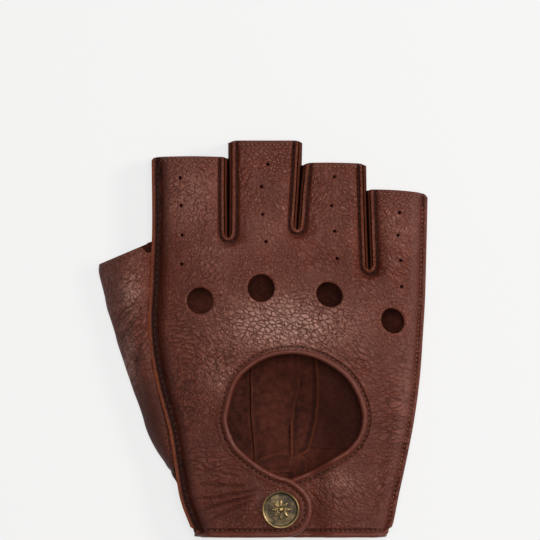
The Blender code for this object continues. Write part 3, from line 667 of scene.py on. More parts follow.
def sheet(name, outline, holes, top, spacing, mats, rings=(), thick=LEATHER, marks=None):
    """A leather sheet raised to its surface, with a flesh side below and a cut edge all round."""
    flat, faces = filled(outline, holes, spacing, rings)
    z = top(flat[:, 0], flat[:, 1])
    n = len(flat)
    verts = np.vstack([np.column_stack([flat, z]), np.column_stack([flat, z - thick])])
    sides = np.concatenate([faces[:, [0, 1]], faces[:, [1, 2]], faces[:, [2, 0]]])
    _, inverse, times = np.unique(np.sort(sides, axis=1), axis=0, return_inverse=True, return_counts=True)
    rim = sides[times[inverse.reshape(-1)] == 1]
    quads = [(p, p + n, q + n, q) for p, q in rim]
    every = [tuple(f) for f in faces] + [tuple(f + n) for f in faces[:, ::-1]] + quads
    kinds = [0] * len(faces) + [1] * len(faces) + [2] * len(quads)
    values = {key: np.tile(v, 2) for key, v in (marks(flat[:, 0], flat[:, 1]) if marks else {}).items()}
    return mesh_object(name, verts, every, mats, kinds, values)


def tube_faces(n, m):
    """The sides of n sections of m points each."""
    return [(i * m + j, i * m + (j + 1) % m, (i + 1) * m + (j + 1) % m, (i + 1) * m + j)
            for i in range(n - 1) for j in range(m)]


def roll(name, path, wide, high, mat, seed, thin_start, thin_end):
    """A rolled binding: a slightly uneven round strip, which may thin out at its ends."""
    path = even_path(path, 0.7)
    run = np.arange(len(path)) * 0.7
    uneven = 1 + 0.045 * noise(run, run * 0, 2.2, seed=seed) + 0.04 * noise(run, run * 0, 7.0, seed=seed + 1)
    for thin, far in ((thin_start, run), (thin_end, run[-1] - run)):
        if thin:
            uneven *= np.sqrt(np.clip((far + 0.2) / 1.6, 0, 1))
    along = np.gradient(path, axis=0)
    along /= np.maximum(np.linalg.norm(along, axis=1)[:, None], 1e-9)
    side = np.cross(along, [0, 0, 1.0])
    side /= np.maximum(np.linalg.norm(side, axis=1)[:, None], 1e-9)
    up = np.cross(side, along)
    n, m = len(path), 16
    a = 2 * np.pi * np.arange(m) / m
    rings = (path[:, None] + np.multiply.outer(uneven, wide * np.cos(a))[..., None] * side[:, None]
             + np.multiply.outer(uneven, high * np.sin(a))[..., None] * up[:, None])
    verts = np.vstack([rings.reshape(-1, 3), rings[0].mean(axis=0), rings[-1].mean(axis=0)])
    faces = tube_faces(n, m) + [(n * m, (j + 1) % m, j) for j in range(m)]
    faces += [(n * m + 1, (n - 1) * m + j, (n - 1) * m + (j + 1) % m) for j in range(m)]
    return mesh_object(name, verts, faces, [mat], angle=60)


STRAND_SIDES = 8


def add_strand(verts, faces, centres, radii, side, up):
    """One stitch: a short strand along its centres, closed at both ends."""
    m, start = STRAND_SIDES, len(verts)
    for centre, r in zip(centres, radii):
        for a in 2 * np.pi * np.arange(m) / m:
            verts.append(centre + r * (math.cos(a) * side + math.sin(a) * up))
    faces += [tuple(start + p for p in face) for face in tube_faces(len(centres), m)]
    faces += [tuple(start + j for j in range(m - 1, -1, -1)), tuple(len(verts) - m + j for j in range(m))]


def stitches(name, path, top, pitch, length, radius, mat, lift):
    """A row of separate stitches that dive into the leather at both ends."""
    path = even_path(path, pitch)
    path = 0.5 * (path[1:] + path[:-1])
    t = np.gradient(path, axis=0)
    t /= np.linalg.norm(t, axis=1)[:, None]
    rise = (top(*(path + 0.3 * t).T) - top(*(path - 0.3 * t).T)) / 0.6
    middles = np.column_stack([path, top(path[:, 0], path[:, 1]) + lift])
    run = np.column_stack([t, rise])
    run /= np.linalg.norm(run, axis=1)[:, None]
    side = np.column_stack([-t[:, 1], t[:, 0], np.zeros(len(t))])
    up = np.cross(run, side)
    at = np.array([-0.5, -0.42, -0.2, 0.2, 0.42, 0.5])[:, None]          # along the stitch
    dip = np.array([1.0, 0.45, 0.0, 0.0, 0.45, 1.0])[:, None]            # into the leather
    radii = radius * np.array([0.35, 0.8, 1.0, 1.0, 0.8, 0.35])
    verts, faces = [], []
    for k, middle in enumerate(middles):
        centres = middle + at * run[k] * length - dip * up[k] * radius
        add_strand(verts, faces, centres, radii, side[k], up[k])
    return mesh_object(name, verts, faces, [mat])


def turned(name, profile, centre, steps, mat, wear, relief):
    """A profile of (radius, height) turned about the vertical axis through `centre`, with relief on top."""
    profile = np.array(profile, float)
    a = 2 * np.pi * np.arange(steps) / steps
    verts = [(centre[0], centre[1], profile[0, 1])]
    for r, z in profile[1:-1]:
        verts += list(zip(centre[0] + r * np.cos(a), centre[1] + r * np.sin(a), z + relief(r, a)))
    verts.append((centre[0], centre[1], profile[-1, 1]))
    last, rings = len(verts) - 1, len(profile) - 2
    faces = [(0, 1 + j, 1 + (j + 1) % steps) for j in range(steps)]
    for i in range(rings - 1):
        for j in range(steps):
            p, q = 1 + i * steps + j, 1 + i * steps + (j + 1) % steps
            faces.append((p, p + steps, q + steps, q))
    faces += [(last, last - steps + (j + 1) % steps, last - steps + j) for j in range(steps)]
    verts = np.array(verts)
    x, y = verts[:, 0] - centre[0], verts[:, 1] - centre[1]
    worn = {"worn": wear(np.hypot(x, y), np.arctan2(y, x))}
    return mesh_object(name, verts, faces, [mat], None, worn, 40)


# ---------------------------------------------------------------- outlines
def clean(loop, least=0.3):
    """A loop without points that nearly repeat the one before."""
    kept = [loop[0]]
    for p in loop[1:]:
        if np.hypot(*(p - kept[-1])) > least:
            kept.append(p)
    if np.hypot(*(kept[0] - kept[-1])) <= least:
        kept.pop()
    return np.array(kept)


RIM_FROM = -73.5                         # below this the wrist's corners begin


def rim_lines(gap_lines, room):
    """The edge from the wrist up the thumb side, round the fingers and down the other side."""
    low = even_path(INDEX_LINE, 0.9)
    lines = [low[low[:, 1] > RIM_FROM]]
    for k, top in enumerate(TOP_LINES):
        line = even_path(top, 0.7)
        far = np.min([distance_to(g, line[:, 0], line[:, 1]) for g in GAPS], axis=0) > room
        lines.append(line[far])
        if k < len(gap_lines):
            lines.append(even_path(gap_lines[k], 0.7))
    low = even_path(LITTLE_LINE, 0.9)[::-1]
    return lines + [low[low[:, 1] > RIM_FROM]]


def hem_line(start, end, distance, step):
    """A line along the wrist hem, this far from it."""
    return straight_path([(start, HEM_Y + distance), (end, HEM_Y + distance)], step)


HEM = HEM_Y + EDGE
HEM_RIGHT = [(49.3, -74.0), (48.3, -75.0), (46.8, -75.5), (45.0, HEM)]
HEM_LEFT = [(-24.0, HEM), (-25.4, -75.5), (-26.5, -74.9), (-27.4, -73.9)]
SPLIT = straight_path([(BEND_X, -39.0), (BEND_X, HEM)], 0.7)
keyhole_edge = even_path(offset(KEYHOLE_LINE, EDGE), 0.7)
tab_edge = even_path(offset(TAB_LINE, -EDGE), 0.7)
back_outline = clean(np.vstack(rim_lines(GAP_EDGE, FOURCHETTE + 0.25) + [
    straight_path(HEM_RIGHT + [(1.0, HEM)], 0.9), keyhole_edge[::-1], SPLIT,
    straight_path([(BEND_X, HEM)] + HEM_LEFT, 0.9)]))
back_holes = [oval(h, 64)[::-1] for h in KNUCKLES] + [circle(c, VENT_R, 14)[::-1] for c in VENTS]
side_rings = [even_path(offset(INDEX_LINE, -d), 0.6) for d in (0.55, 0.95, 1.25, 1.9, 2.6, 3.3, 4.0)]
side_rings += [even_path(offset(LITTLE_LINE, d), 0.6) for d in (0.35, 0.7, 1.5, 2.0, 2.5)]
gap_rings = [even_path(offset(g, -d), 0.5) for g in GAP_EDGE
             for d in (0.45, 0.85, 1.1, 1.4, 1.75, 2.1, 2.6)]
hem_rings = [even_path(offset(t, -d), 0.6)[1:-1] for t in TOP_LINES for d in (0.4, 0.9, 1.3, 1.6, 1.9)]
groove_rings = [even_path(offset(KEYHOLE_LINE, d), 0.6) for d in GROOVE]
groove_rings += [oval(h, 60, d) for h in KNUCKLES for d in (0.35, 0.7, 1.2)]
groove_rings += [circle(c, VENT_R + d, 14) for c in VENTS for d in (0.3, 0.65)]
groove_rings += [hem_line(-27.0, BEND_X - 0.5, d, 0.6) for d in GROOVE]
groove_rings += [hem_line(24.0, 49.0, d, 0.6) for d in GROOVE]


def pull_shade(x, y):
    """How dark the creases are that spread from the tab's neck."""
    return np.clip(-snap_creases(x, y) * 1.2, 0, 0.55)


BEND = ((-0.014, -0.0566, 0.0137), (-0.001, -0.0566, 0.0137))          # where the tab's bend starts and ends
LIFT = ((-0.0474, 0.0200, 0.0072), (-0.0534, 0.0195, 0.0072))          # and the thumb's


def stand_for(node, piece, slot, moving=None, bend=None):
    """Puts a piece in a CAD node's place and hides the node: fixed to the hand, or, for a moving body, left
    as placed with its transform baked in.
    """
    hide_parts(node)
    if moving:
        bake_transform(piece)
    else:
        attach(piece, "hand")


def back_shades(x, y):
    """Where the leather's raw edge shows, and painted shade in its valleys, grooves and creases and over some
    wider areas.
    """
    d = back_marks(x, y)
    ragged = 0.16 * noise(x, y, 5.0, seed=41) + 0.22 * noise(x, y, 1.3, seed=51)
    raw = (0.48 + 0.25 * noise(x, y, 3.5, seed=54)) * (1 - ease((d["gap"] - 0.75 - ragged) / 0.25))
    raw = np.maximum(raw, 1 - ease((d["left"] - 0.78 - ragged) / 0.25))
    raw = np.maximum(raw, (1 - ease((d["right"] - 0.2) / 0.2)) * 0.8)
    raw = np.maximum(raw, (1 - ease((d["top"] - 0.15) / 0.25)) * 0.7)
    raw = np.maximum(raw, (1 - ease((d["hole"] - 0.12) / 0.2)) * 0.8)
    valley = d["left"] - 3.0 - 0.5 * noise(x, y, 3.0, seed=52)
    shade = ease((d["left"] - 1.0) / 0.4) * (1 - ease(valley / 1.2))
    shade = np.maximum(shade, 0.9 * bell(d["gap"] - 1.5, 0.5))
    shade = np.maximum(shade, 0.9 * bell(d["keyhole"] - 2.75, 0.42))
    shade = np.maximum(shade, 0.4 * bell(d["top"] - 1.5, 0.3))
    shade = np.maximum(shade, 0.9 * bell(y - HEM_Y - 2.75, 0.42))
    shade = np.maximum(shade, (0.55 + 0.3 * noise(x, y, 2.4, seed=53)) * bell(d["right"] - 1.9, 0.55))
    calm = ease(np.minimum(d["left"] - 3.5, d["gap"] - 1.5) / 2)
    shade = np.maximum(shade, np.where(x < -10, pull_shade(x, y), 0) * calm)
    return {"raw": raw, "shade": np.maximum(shade, grain_parts(x, y)[1] * calm), **grain_fields(x, y)}


back = sheet("back_leather", back_outline, back_holes, back_top, FINE, [BACK, FLESH, RAW_EDGE],
             side_rings + gap_rings + hem_rings + groove_rings, marks=back_shades)
stand_for("back_panel", back, "grain_leather")


# ---------------------------------------------------------------- closure tab
def tab_shades(x, y):
    """Painted shade in the tab's stitch groove and in its creases."""
    painted_shade = 0.9 * bell(distance_to(TAB_LINE, x, y) - 2.75, 0.42) * ease((x - BEND_X) / 1.5)
    calm = ease((np.hypot(x - SNAP[0], y - SNAP[1]) - 7) / 2)
    creases = np.maximum(pull_shade(x, y), grain_parts(x, y)[1] * calm)
    return {"raw": 0 * x, "shade": np.maximum(painted_shade, creases), **grain_fields(x, y)}


tab_outline = clean(np.vstack([SPLIT[::-1], tab_edge[tab_edge[:, 0] > BEND_X + 0.1]]))
tab_rings = [even_path(offset(TAB_LINE, -d), 0.6) for d in GROOVE]
tab_rings += [circle(SNAP, r, 60) for r in (6.6, 7.4, 8.2)]
tab = sheet("tab_leather", tab_outline, [], tab_top, FINE * 0.9, [BACK, FLESH, RAW_EDGE], tab_rings,
            marks=tab_shades)
stand_for("closure_tab", tab, "grain_leather", "closure_tab", BEND)


# ---------------------------------------------------------------- palm
def palm_top(x, y):
    x, y = np.asarray(x, float), np.asarray(y, float)
    relief = 0.10 + 0.06 * pebbles(x, y, 1.6, seed=61) + 0.03 * noise(x, y, 7.0, seed=62)
    return palm_base(x, y) + LEATHER + relief


palm_gaps = []
for g in GAPS:                           # the fingers touch along the palm
    centre = [0.5 * (g[k][0] + g[6 - k][0]) for k in range(3)]
    palm_gaps.append(straight_path([(centre[k] - 0.04, g[k][1]) for k in range(3)] + [g[3]]
                                   + [(centre[k] + 0.04, g[6 - k][1]) for k in (2, 1, 0)], 2.0))
palm_outline = clean(np.vstack(rim_lines(palm_gaps, 0.05) + [straight_path(HEM_RIGHT + HEM_LEFT, 0.9)]))
palm_rings = [even_path(offset(INDEX_LINE, -d), 1.0) for d in (1.0, 3.0, 5.0, 8.0, 11.0)]
palm_rings += [even_path(offset(LITTLE_LINE, d), 1.0) for d in (1.0, 3.0, 5.0, 8.0, 11.0)]
palm = sheet("palm_leather", palm_outline, [], palm_top, 1.0,
             [FLESH, PALM_SKIN, RAW_EDGE], palm_rings)
stand_for("palm_panel", palm, "palm_leather")

# ---------------------------------------------------------------- what lies inside, seen through the keyhole
# Corners, height, how far the edge curls up, skin, and how pale the edge is, which also sets the painted
# shadow beside the edge. Each lies a little over or under its neighbour.
INNER = {
    "inner_thumb_side_strip": (
        [(-22.0, -3.0), (-5.2, -3.0), (-5.2, -29.0), (-3.7, -44.0), (-3.9, -60.0), (-22.0, -60.0)],
        3.3, 0.3, FLESH, 0.2),
    "inner_centre_panel": (
        [(-4.7, -2.0), (14.2, -2.0), (14.7, -10.0), (14.3, -19.0), (12.6, -26.0), (12.1, -33.0),
         (12.8, -40.0), (14.6, -47.0), (12.0, -52.0), (-3.4, -52.0), (-3.2, -44.0), (-4.6, -29.0)],
        3.5, 0.5, FLESH, 0.35),
    "inner_seam_strip": (
        [(11.0, -2.0), (20.6, -2.0), (21.6, -12.0), (22.0, -22.0), (21.2, -31.0), (19.6, -38.0),
         (18.0, -44.0), (11.0, -47.0)],
        2.8, 0.9, FLESH, 1.1),
    "inner_little_side_piece": (
        [(18.0, -2.0), (46.0, -2.0), (46.0, -41.5), (32.0, -42.6), (24.0, -42.8), (17.0, -41.6)],
        2.3, 0.2, FLESH_SMOOTH, 0.1),
    "inner_heel_piece": (
        [(-3.9, -48.5), (1.0, -46.0), (7.0, -44.4), (12.0, -44.2), (15.6, -45.6), (17.2, -48.4),
         (16.6, -52.5), (12.0, -58.5), (5.0, -61.5), (-3.9, -60.5)],
        4.3, -0.9, FLESH, 0.6),
}


def inner_piece(number, name, corners, level, curl, skin, pale):
    edge = corners + corners[:1]
    edge = even_path(smooth_path(edge, 1.0) if "heel" in name else straight_path(edge, 0.9), 0.9)

    def top(x, y):
        curled = (1 - ease(distance_to(edge, x, y) / 2.2)) * (0.75 + 0.5 * noise(x, y, 9.0, seed=70 + number))
        wrinkles = 0.18 * noise(x, y, 4.0, 1.5, 60, seed=90 + number)
        return level + curl * curled + 0.55 * noise(x, y, 13.0, seed=80 + number) + wrinkles

    def shades(x, y):
        d = distance_to(edge, x, y)
        # Pale raw edge, partly a painted highlight on the curl, and a band of painted shadow just inside it.
        return {"raw": pale * 0.8 * (1 - ease((d - 0.35) / 0.5)), "shade": 0.7 * bell(d - 1.5, 0.9) * pale}

    return sheet(name + "_suede", clean(edge), [], top, 1.1, [skin, FLESH, RAW_EDGE], thick=0.8, marks=shades)


for number, (name, look) in enumerate(INNER.items()):
    stand_for(name, inner_piece(number, name, *look), "inner_leather")


# ---------------------------------------------------------------- fourchettes, the strips between the fingers
def half_gap(gap, y):
    """Half the room between two fingers at each y."""
    left, right = np.array(gap[3::-1]), np.array(gap[3:])
    return 0.5 * (np.interp(y, right[:, 1], right[:, 0]) - np.interp(y, left[:, 1], left[:, 0]))


def fourchette(name, gap):
    """A wall round the gap between two fingers, whose raw top edge shows beside the back's."""
    line = even_path(straight_path(gap, 2.0), 0.7)
    wave = 0.16 * noise(line[:, 0] * 3, line[:, 1], 3.0, seed=101)
    wide = np.full(len(line), FOURCHETTE - 0.2)
    lean = half_gap(gap, line[:, 1]) + 0.03                   # the two walls meet below the fingers' edges
    normal = offset(line, 1.0) - line
    profile = [(-lean, 1.15, 0), (-lean, 5.0, 0), (-0.15, 10.6, 0), (0.04, 11.6, 0.3), (0.2, 11.95, 0.6),
               (0.62, 11.95, 0.6), (0.82, 11.6, 0.3), (wide, 10.8, 0), (wide, 5.0, 0), (wide, 1.15, 0)]
    rings = []
    for across, z, _ in profile:
        side = rounded(line - np.minimum(across, wide)[:, None] * normal, 3)
        rings.append(np.column_stack([side, z + (wave if z > 9 else 0 * wave)]))
    m, n = len(profile), len(line)
    faces = tube_faces(n, m)
    faces += [tuple(range(m - 1, -1, -1)), tuple((n - 1) * m + j for j in range(m))]
    skin = leather("Fourchette leather " + name, (0.040, 0.0095, 0.0055), (0.105, 0.028, 0.017), size=1.4,
                   bump=0.5, rough=(0.75, 0.95), gloss=0.1)
    pale = {"raw": 0.45 * np.tile([raw for _, _, raw in profile], n)}
    verts = np.stack(rings, axis=1).reshape(-1, 3)
    return mesh_object("fourchette_leather_" + name, verts, faces, [skin], marks=pale)


for name, gap in zip(("index_middle", "middle_ring", "ring_little"), GAPS):
    stand_for("fourchette_" + name, fourchette(name, gap), "fourchette_leather")

# ---------------------------------------------------------------- thumb stall
# Plan of the thumb: its outer fold and its root, both from the hem to the wrist.
THUMB_OUT = [
    (-63.9, 29.2), (-64.1, 26.1), (-63.0, 21.4), (-61.8, 16.7), (-60.9, 12.0), (-59.4, 7.4), (-57.9, 2.7),
    (-56.7, -2.0), (-55.1, -6.7), (-53.6, -11.4), (-52.0, -16.0), (-50.4, -20.7), (-48.6, -25.4),
    (-47.0, -30.1), (-45.7, -34.8), (-43.8, -39.4), (-41.2, -44.1), (-38.0, -48.8), (-35.6, -53.5),
    (-34.0, -58.2)]
THUMB_IN = [
    (-41.0, 38.9), (-41.6, 30.0), (-41.4, 20.7), (-42.0, 7.0), (-41.2, -5.5), (-38.8, -19.1),
    (-36.6, -29.5), (-34.6, -41.0), (-32.6, -50.0), (-31.6, -57.6)]
THUMB_LENGTH = 95.0                      # from the hem to the wrist end
THUMB_ROW = 1.7                          # from the hem to its stitches
FOLD_Z = 2.5                             # height of the fold along the thumb's outer side


def thumb_creases(x, y):
    """0 between the creases that rise from the thumb's fold to the seam, below 0 in them."""
    bx, by = x + 1.2 * noise(x, y, 7, seed=117), y + 1.2 * noise(x, y, 6, seed=118)
    lines = np.minimum(creased(bx, by, 11.0, 2.3, 47, 119), 0.35 + 0.65 * creased(bx, by, 6.0, 1.7, 30, 120))
    streaks = creased(bx, by, 13.0, 1.8, 74, 121)
    return (lines - 1) * spot(x, y, -51, 8, 9, 19) + (streaks - 1) * spot(x, y, -50, -14, 6, 16)


def thumb_relief(x, y):
    """Folds that fan out from the thumb's root, creases and grain."""
    bend = 6 * noise(x, y, 14, seed=111)
    r, a = np.hypot(x + 37, y - 11), np.arctan2(y - 11, -(x + 37))
    fan = noise(a * 7, r * 0.08, 1.0, 1.2, seed=112) * bell((r - 11) / 7, 1.0)
    z = 0.55 * fan + 0.14 * noise(x, y + 0.4 * bend, 10.0, 2.4, -20, seed=113)
    z += 0.10 * noise(x, y, 5.0, seed=114) + 0.10 * (pebbles(x, y, 1.5, seed=115) - 0.6)
    return z + 0.40 * thumb_creases(x, y) + 0.35 * noise(x, y, 16, 7, 62, seed=116)


def thumb_surface(along, across):
    """The outer surface, along x around x 3: from the root out on the palm side, then back over the top."""
    fold, root = (even_path(smooth_path(p, 1.0), count=along) for p in (THUMB_OUT, THUMB_IN))
    u = 1 - (1 - np.linspace(0, 1, across)) ** 1.8
    puff = np.minimum(4.6, 0.22 * np.linalg.norm(fold - root, axis=1))
    rows = []
    for i in range(along):
        line = root[i] + np.outer(u, fold[i] - root[i])
        low = FOLD_Z - 2.42 * np.sqrt(np.clip(1 - u ** 9, 0, 1))
        high = FOLD_Z + (4.9 + puff[i] * np.sin(np.pi * u ** 0.8)) * np.sqrt(np.clip(1 - u ** 3.4, 0, 1))
        rows.append(np.vstack([np.column_stack([line, low]), np.column_stack([line, high])[::-1][1:]]))
    outer = np.array(rows)
    # Its last stretch narrows and rises into the seam.
    v = np.linspace(0, 1, along)[:, None]
    end = ease((v - 0.90) / 0.10)
    outer[..., :2] += (root[:, None] - outer[..., :2]) * (0.8 * end)[..., None]
    outer[..., 2] += (5.2 - outer[..., 2]) * 0.75 * end
    lower, upper = outer[:, :across], outer[:, across:]       # views: what follows shapes the surface itself
    # Below, it passes over the palm's edge to the inside.
    x, y = lower[..., 0], lower[..., 1]
    within = distance_to(INDEX_LINE, x, y) * np.where(inside(back_outline, x, y), 1, -1)
    lower[..., 2] = np.maximum(lower[..., 2], (palm_base(x, y) + LEATHER + 0.35) * ease((within + 1.2) / 1.2))
    # The hem's edge runs a little lower over the top than below, and dips towards the index finger.
    x, y = upper[..., 0], upper[..., 1]
    fade = np.clip((upper[..., 2] - FOLD_Z) / 3.0, 0, 1)
    upper[..., 2] += thumb_relief(x, y) * fade
    upper[..., 1] -= (1 - ease(v / 0.07)) * (0.3 + 3.6 * ease((x + 47.8) / 3.2))
    hem = THUMB_LENGTH * v
    upper[..., 2] -= (0.28 * bell(hem - THUMB_ROW, 0.55) + 0.5 * (1 - ease(hem / 0.8))) * fade
    # Under the back it keeps below the back's flesh side.
    ceiling = np.where(inside(back_outline, x, y), back_top(x, y) - LEATHER - 0.2, np.inf)
    upper[..., 2] = np.minimum(upper[..., 2], ceiling)
    return outer


def thumb_marks(outer, across):
    """Where the thumb's raw hem edge, creases and pebbles show, with painted shade in the hem's stitch groove
    and creases, darker towards the wrist end, and a painted highlight on two patches of pebble tops.
    """
    n, m = outer.shape[:2]
    x, y = outer[..., 0], outer[..., 1]
    hem = np.linspace(0, THUMB_LENGTH, n)[:, None]
    top = (np.arange(m) >= across) * np.ones((n, 1))
    # Painted shade in the hem's stitch groove, and darker towards the wrist end.
    painted_shade = np.maximum(0.45 * bell(hem - THUMB_ROW, 0.4) * top, 0.45 * ease((-2 - y) / 25))
    return {"raw": 0.6 * (1 - ease((hem - 0.2) / 0.4)) * top,
            "shade": np.maximum(painted_shade, top * np.clip(-0.75 * thumb_creases(x, y), 0, 0.7)),
            "rising": 0.9 * spot(x, y, -51, 8, 9, 24),
            # Painted highlight on the pebble tops of two patches, which also take the big pebbles' creases.
            "big": np.maximum(0.6 * spot(x, y, -51.5, 19, 4.5, 11), 0.4 * spot(x, y, -51.5, -6, 3.2, 13))}


def thumb_shell(outer, across):
    """The stall: its outer surface, a flesh side inside it and cut edges at the hem and along the seam."""
    du, dv = np.gradient(outer, axis=1), np.gradient(outer, axis=0)
    normal = np.cross(dv, du)
    normal /= np.maximum(np.linalg.norm(normal, axis=2)[..., None], 1e-9)
    outward = np.sign(((outer - outer.mean(axis=1, keepdims=True)) * normal).sum(axis=2).mean())
    inner = outer - outward * normal * LEATHER
    inner[..., 2] = np.clip(inner[..., 2], 0.9, None)
    n, m = outer.shape[:2]
    k = n * m
    faces, kinds = [], []
    for i in range(n - 1):
        for j in range(m - 1):
            quad = (i * m + j, i * m + j + 1, (i + 1) * m + j + 1, (i + 1) * m + j)[::int(outward)]
            faces += [quad[::-1], tuple(p + k for p in quad)]
            kinds += [0, 1]
    edges = [(i * m + j, (i + 1) * m + j, 2) for i in range(n - 1) for j in (0, m - 1)]
    edges += [(i * m + j, i * m + j + 1, 2 if i else 0) for j in range(m - 1) for i in (0, n - 1)]
    for a, b, kind in edges:
        faces.append((a, b, b + k, a + k))
        kinds.append(kind)
    verts = np.vstack([outer.reshape(-1, 3), inner.reshape(-1, 3)])
    marks = {key: np.tile(v.ravel(), 2) for key, v in thumb_marks(outer, across).items()}
    obj = mesh_object("thumb_leather", verts, faces, [THUMB_SKIN, FLESH, RAW_EDGE], kinds, marks, 70)
    shell = bmesh.new()
    shell.from_mesh(obj.data)
    bmesh.ops.recalc_face_normals(shell, faces=shell.faces[:])
    shell.to_mesh(obj.data)
    shell.free()
    return obj


ALONG, ACROSS = ((150, 46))
thumb_outer = thumb_surface(ALONG, ACROSS)
stand_for("thumb_stall", thumb_shell(thumb_outer, ACROSS), "grain_leather", "thumb", LIFT)

# ---------------------------------------------------------------- bindings
half = BINDING / 2
MIDDLE = HEM_Y + half
LEFT_CORNER = [(-26.7, -73.6), (-26.2, -74.7), (-25.2, -75.6), (-23.6, MIDDLE)]
RIGHT_CORNER = [(44.6, MIDDLE), (46.8, -75.9), (48.1, -75.1), (48.8, -74.0)]
# Path, the surface that it is sewn to, and whether it thins out at its start and at its end.
BINDINGS = {
    "keyhole_binding": (np.vstack([[(-12.75, -38.75)], offset(KEYHOLE_LINE, half)]), back_base, False, False),
    "tab_binding": (np.vstack([[(-13.6, -37.8)], offset(TAB_LINE, -half)]), tab_base, False, False),
    "wrist_binding_left": (LEFT_CORNER + [(-19.0, MIDDLE), (BEND_X + 0.3, MIDDLE)], back_base, True, False),
    "wrist_binding_right": ([(1.6, MIDDLE), (20.0, MIDDLE)] + RIGHT_CORNER, back_base, True, True),
    "wrist_binding_palm": (LEFT_CORNER + [(10.0, MIDDLE)] + RIGHT_CORNER, palm_base, True, True),
}
for name, (path, base, thin_start, thin_end) in BINDINGS.items():
    path = smooth_path(path, 1.0) if "wrist" in name else path
    z = np.maximum(base(path[:, 0], path[:, 1]) + 0.5, half + 0.02)     # it stays above the floor
    piece = roll(name + "_roll", np.column_stack([path, z]), half + 0.03, half - 0.05, BINDING_SKIN,
                 120 + len(name), thin_start, thin_end)
    moving = ("closure_tab", BEND) if name == "tab_binding" else ()
    stand_for(name, piece, "binding_leather", *moving)

# ---------------------------------------------------------------- snap fastener
cap_z = float(tab_base(SNAP[0], SNAP[1])) + LEATHER + 0.3
PETALS_R = 4.6                           # the rosette lies within this radius, and the rim rises outside it


def petal_reach(a):
    """How far eight petals reach in each direction."""
    return 1.5 + 2.3 * np.cos(4 * a) ** 2


def petals(r, a):
    """A plain eight-petal rosette in low relief, with a small boss."""
    if r >= PETALS_R:
        return 0 * a
    leaf = 1 - ease((r - petal_reach(a) + 0.5) / 0.7)
    return 0.28 * leaf * ease((r - 0.9) / 0.5) + 0.4 * (1 - ease((r - 0.5) / 0.5))


def cap_wear(r, a):
    """Where rubbing keeps the cap bright: its rim, the petals' edges and the boss."""
    edges = 0.8 * bell(r - petal_reach(a) + 0.5, 0.35) * (r < 4.2)
    return np.clip(bell(r - 6.95, 0.28) + edges + 0.9 * bell(r, 0.5), 0, 1)


profile = [(0, 2.0)] + [(r, 2.0 - 0.006 * r * r) for r in np.linspace(0.25, PETALS_R, 18)]
profile += [
    (5.0, 1.83), (5.5, 1.78), (6.0, 1.78), (6.3, 1.85), (6.5, 2.05), (6.7, 2.22), (6.9, 2.26), (7.1, 2.12),
    (7.24, 1.8), (7.3, 1.2), (7.28, 0.7), (7.1, 0.05), (6.8, -0.15), (0, -0.15)]
cap = turned("snap_cap_rosette", [(r, cap_z + z) for r, z in profile], SNAP, 96, BRASS, cap_wear, petals)
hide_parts("snap_cap")
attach(cap, "closure_tab")
for name, metal_look in (("snap_socket", BRASS), ("snap_stud", BRASS), ("snap_rivet_post", BRASS),
                         ("snap_ring_spring", STEEL)):
    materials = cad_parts[name].data.materials
    materials.clear()
    materials.append(metal_look)

# ---------------------------------------------------------------- sewing
# After the path and its surface: pitch, length of a stitch, its radius, thread and height above the leather.
EDGING = (2.0, 1.2, 0.24, TAN_THREAD, 0.16)
SEWING = {
    "thread_keyhole": (offset(KEYHOLE_LINE, STITCH_ROW)[:-12], back_top, *EDGING),
    "thread_tab": (offset(TAB_LINE, -STITCH_ROW)[1:-2], tab_top, *EDGING),
    "thread_wrist_left": (hem_line(-25.5, BEND_X - 0.6, STITCH_ROW, 2.0), back_top, *EDGING),
    "thread_wrist_right": (hem_line(20.5, 47.6, STITCH_ROW, 2.0), back_top, *EDGING),
    "thread_index_side": (offset(INDEX_LINE, -2.4)[1:-1], back_top, 2.5, 1.9, 0.24, DARK_THREAD, 0.12),
    "thread_little_side": (offset(LITTLE_LINE, 1.95)[1:-1], back_top, 1.7, 0.95, 0.25, HEM_THREAD, 0.12),
}
for name, edge in zip(("index", "middle", "ring", "little"), TOP_LINES):
    line = even_path(offset(edge, -TOP_ROW), 1.0)[2:-2]
    SEWING["thread_hem_" + name] = (line, back_top, 1.7, 1.0, 0.25, HEM_THREAD, 0.14)
for name, gap in zip(("index_middle", "middle_ring", "ring_little"), GAPS):
    line = even_path(offset(straight_path(gap, 2.0), -FOURCHETTE - 1.72), 1.0)[2:-2]
    SEWING["thread_fourchette_" + name] = (line, back_top, 2.4, 1.7, 0.18, DARK_THREAD, 0.02)
for name, row in SEWING.items():
    moving = ("closure_tab", BEND) if name == "thread_tab" else ()
    stand_for(name, stitches(name + "_stitches", *row), "thread", *moving)


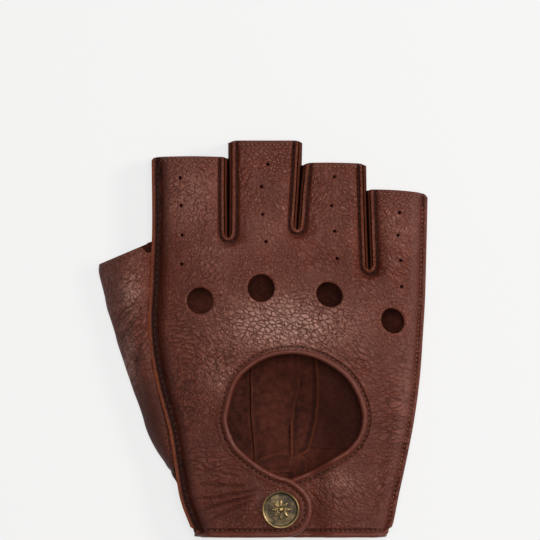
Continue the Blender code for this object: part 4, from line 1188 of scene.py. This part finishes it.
def thumb_hem_stitches():
    """Stitches over the top of the thumb's hem, from its root to its fold."""
    station = max(1, round(THUMB_ROW / THUMB_LENGTH * (ALONG - 1)))
    middles = even_path(thumb_outer[station, ACROSS:][::-1], 2.2)[1:-1]
    run = np.gradient(middles, axis=0)
    run /= np.linalg.norm(run, axis=1)[:, None]
    at = np.linspace(-0.5, 0.5, 5)[:, None]
    radii = 0.2 * np.array([0.5, 0.95, 1.0, 0.95, 0.5])
    verts, faces = [], []
    for middle, along in zip(middles, run):
        side = np.cross([0, 0, 1.0], along)
        side /= np.linalg.norm(side)
        centres = middle + 1.5 * at * along + (0.16 - at ** 2) * [0, 0, 1.0]
        add_strand(verts, faces, centres, radii, side, np.cross(along, side))
    return mesh_object("thread_thumb_hem_stitches", verts, faces, [TAN_THREAD])


stand_for("thread_thumb_hem", thumb_hem_stitches(), "thread", "thumb", LIFT)

# ---------------------------------------------------------------- floor, light and camera
paper = Look("Pale studio floor", 0.0)
tone = paper.mix(paper.noise(3, 2.0), (0.190, 0.196, 0.204), (0.206, 0.212, 0.220))
paper.tree.links.new(tone, paper.shader.inputs["Base Color"])
for key, value in (("Roughness", 0.9), ("Emission Color", (1.0, 1.0, 1.0, 1)), ("Emission Strength", 0.735)):
    paper.shader.inputs[key].default_value = value
bpy.ops.mesh.primitive_plane_add(size=6.0, location=(0, 0, -0.0003))
floor = bpy.context.object
floor.name = "studio_floor"
floor.data.materials.append(paper.material)

world = bpy.data.worlds.new("Studio")
world.use_nodes = True
background = world.node_tree.nodes["Background"]
background.inputs["Color"].default_value = (1.0, 0.96, 0.92, 1)
background.inputs["Strength"].default_value = 0.16
bpy.context.scene.world = world


def lamp(name, place, size, watts):
    """A round warm light that points at the glove."""
    light = bpy.data.lights.new(name, "AREA")
    light.shape = "DISK"
    light.size = size
    light.energy = watts
    light.color = (1.0, 0.93, 0.87)
    obj = bpy.data.objects.new(name, light)
    obj.location = place
    obj.rotation_euler = (-Vector(place)).to_track_quat("-Z", "Y").to_euler()
    bpy.context.scene.collection.objects.link(obj)


lamp("overhead_softbox", (0.07, 0.10, 1.1), 0.50, 5.6)
lamp("side_softbox", (0.85, 0.30, 0.60), 0.35, 6.3)

CAMERA_HEIGHT = 5.0                      # metres above the glove
VIEW_WIDTH = 0.2106                      # metres that the picture spans there
camera = bpy.data.cameras.new("camera")
camera.sensor_width = 36.0
camera.lens = camera.sensor_width * CAMERA_HEIGHT / VIEW_WIDTH
camera.clip_end = 20.0
eye = bpy.data.objects.new("camera", camera)
eye.location = (0.0028, 0.0269, CAMERA_HEIGHT + 0.010)
bpy.context.scene.collection.objects.link(eye)
bpy.context.scene.camera = eye
bpy.context.scene.view_settings.view_transform = "Standard"
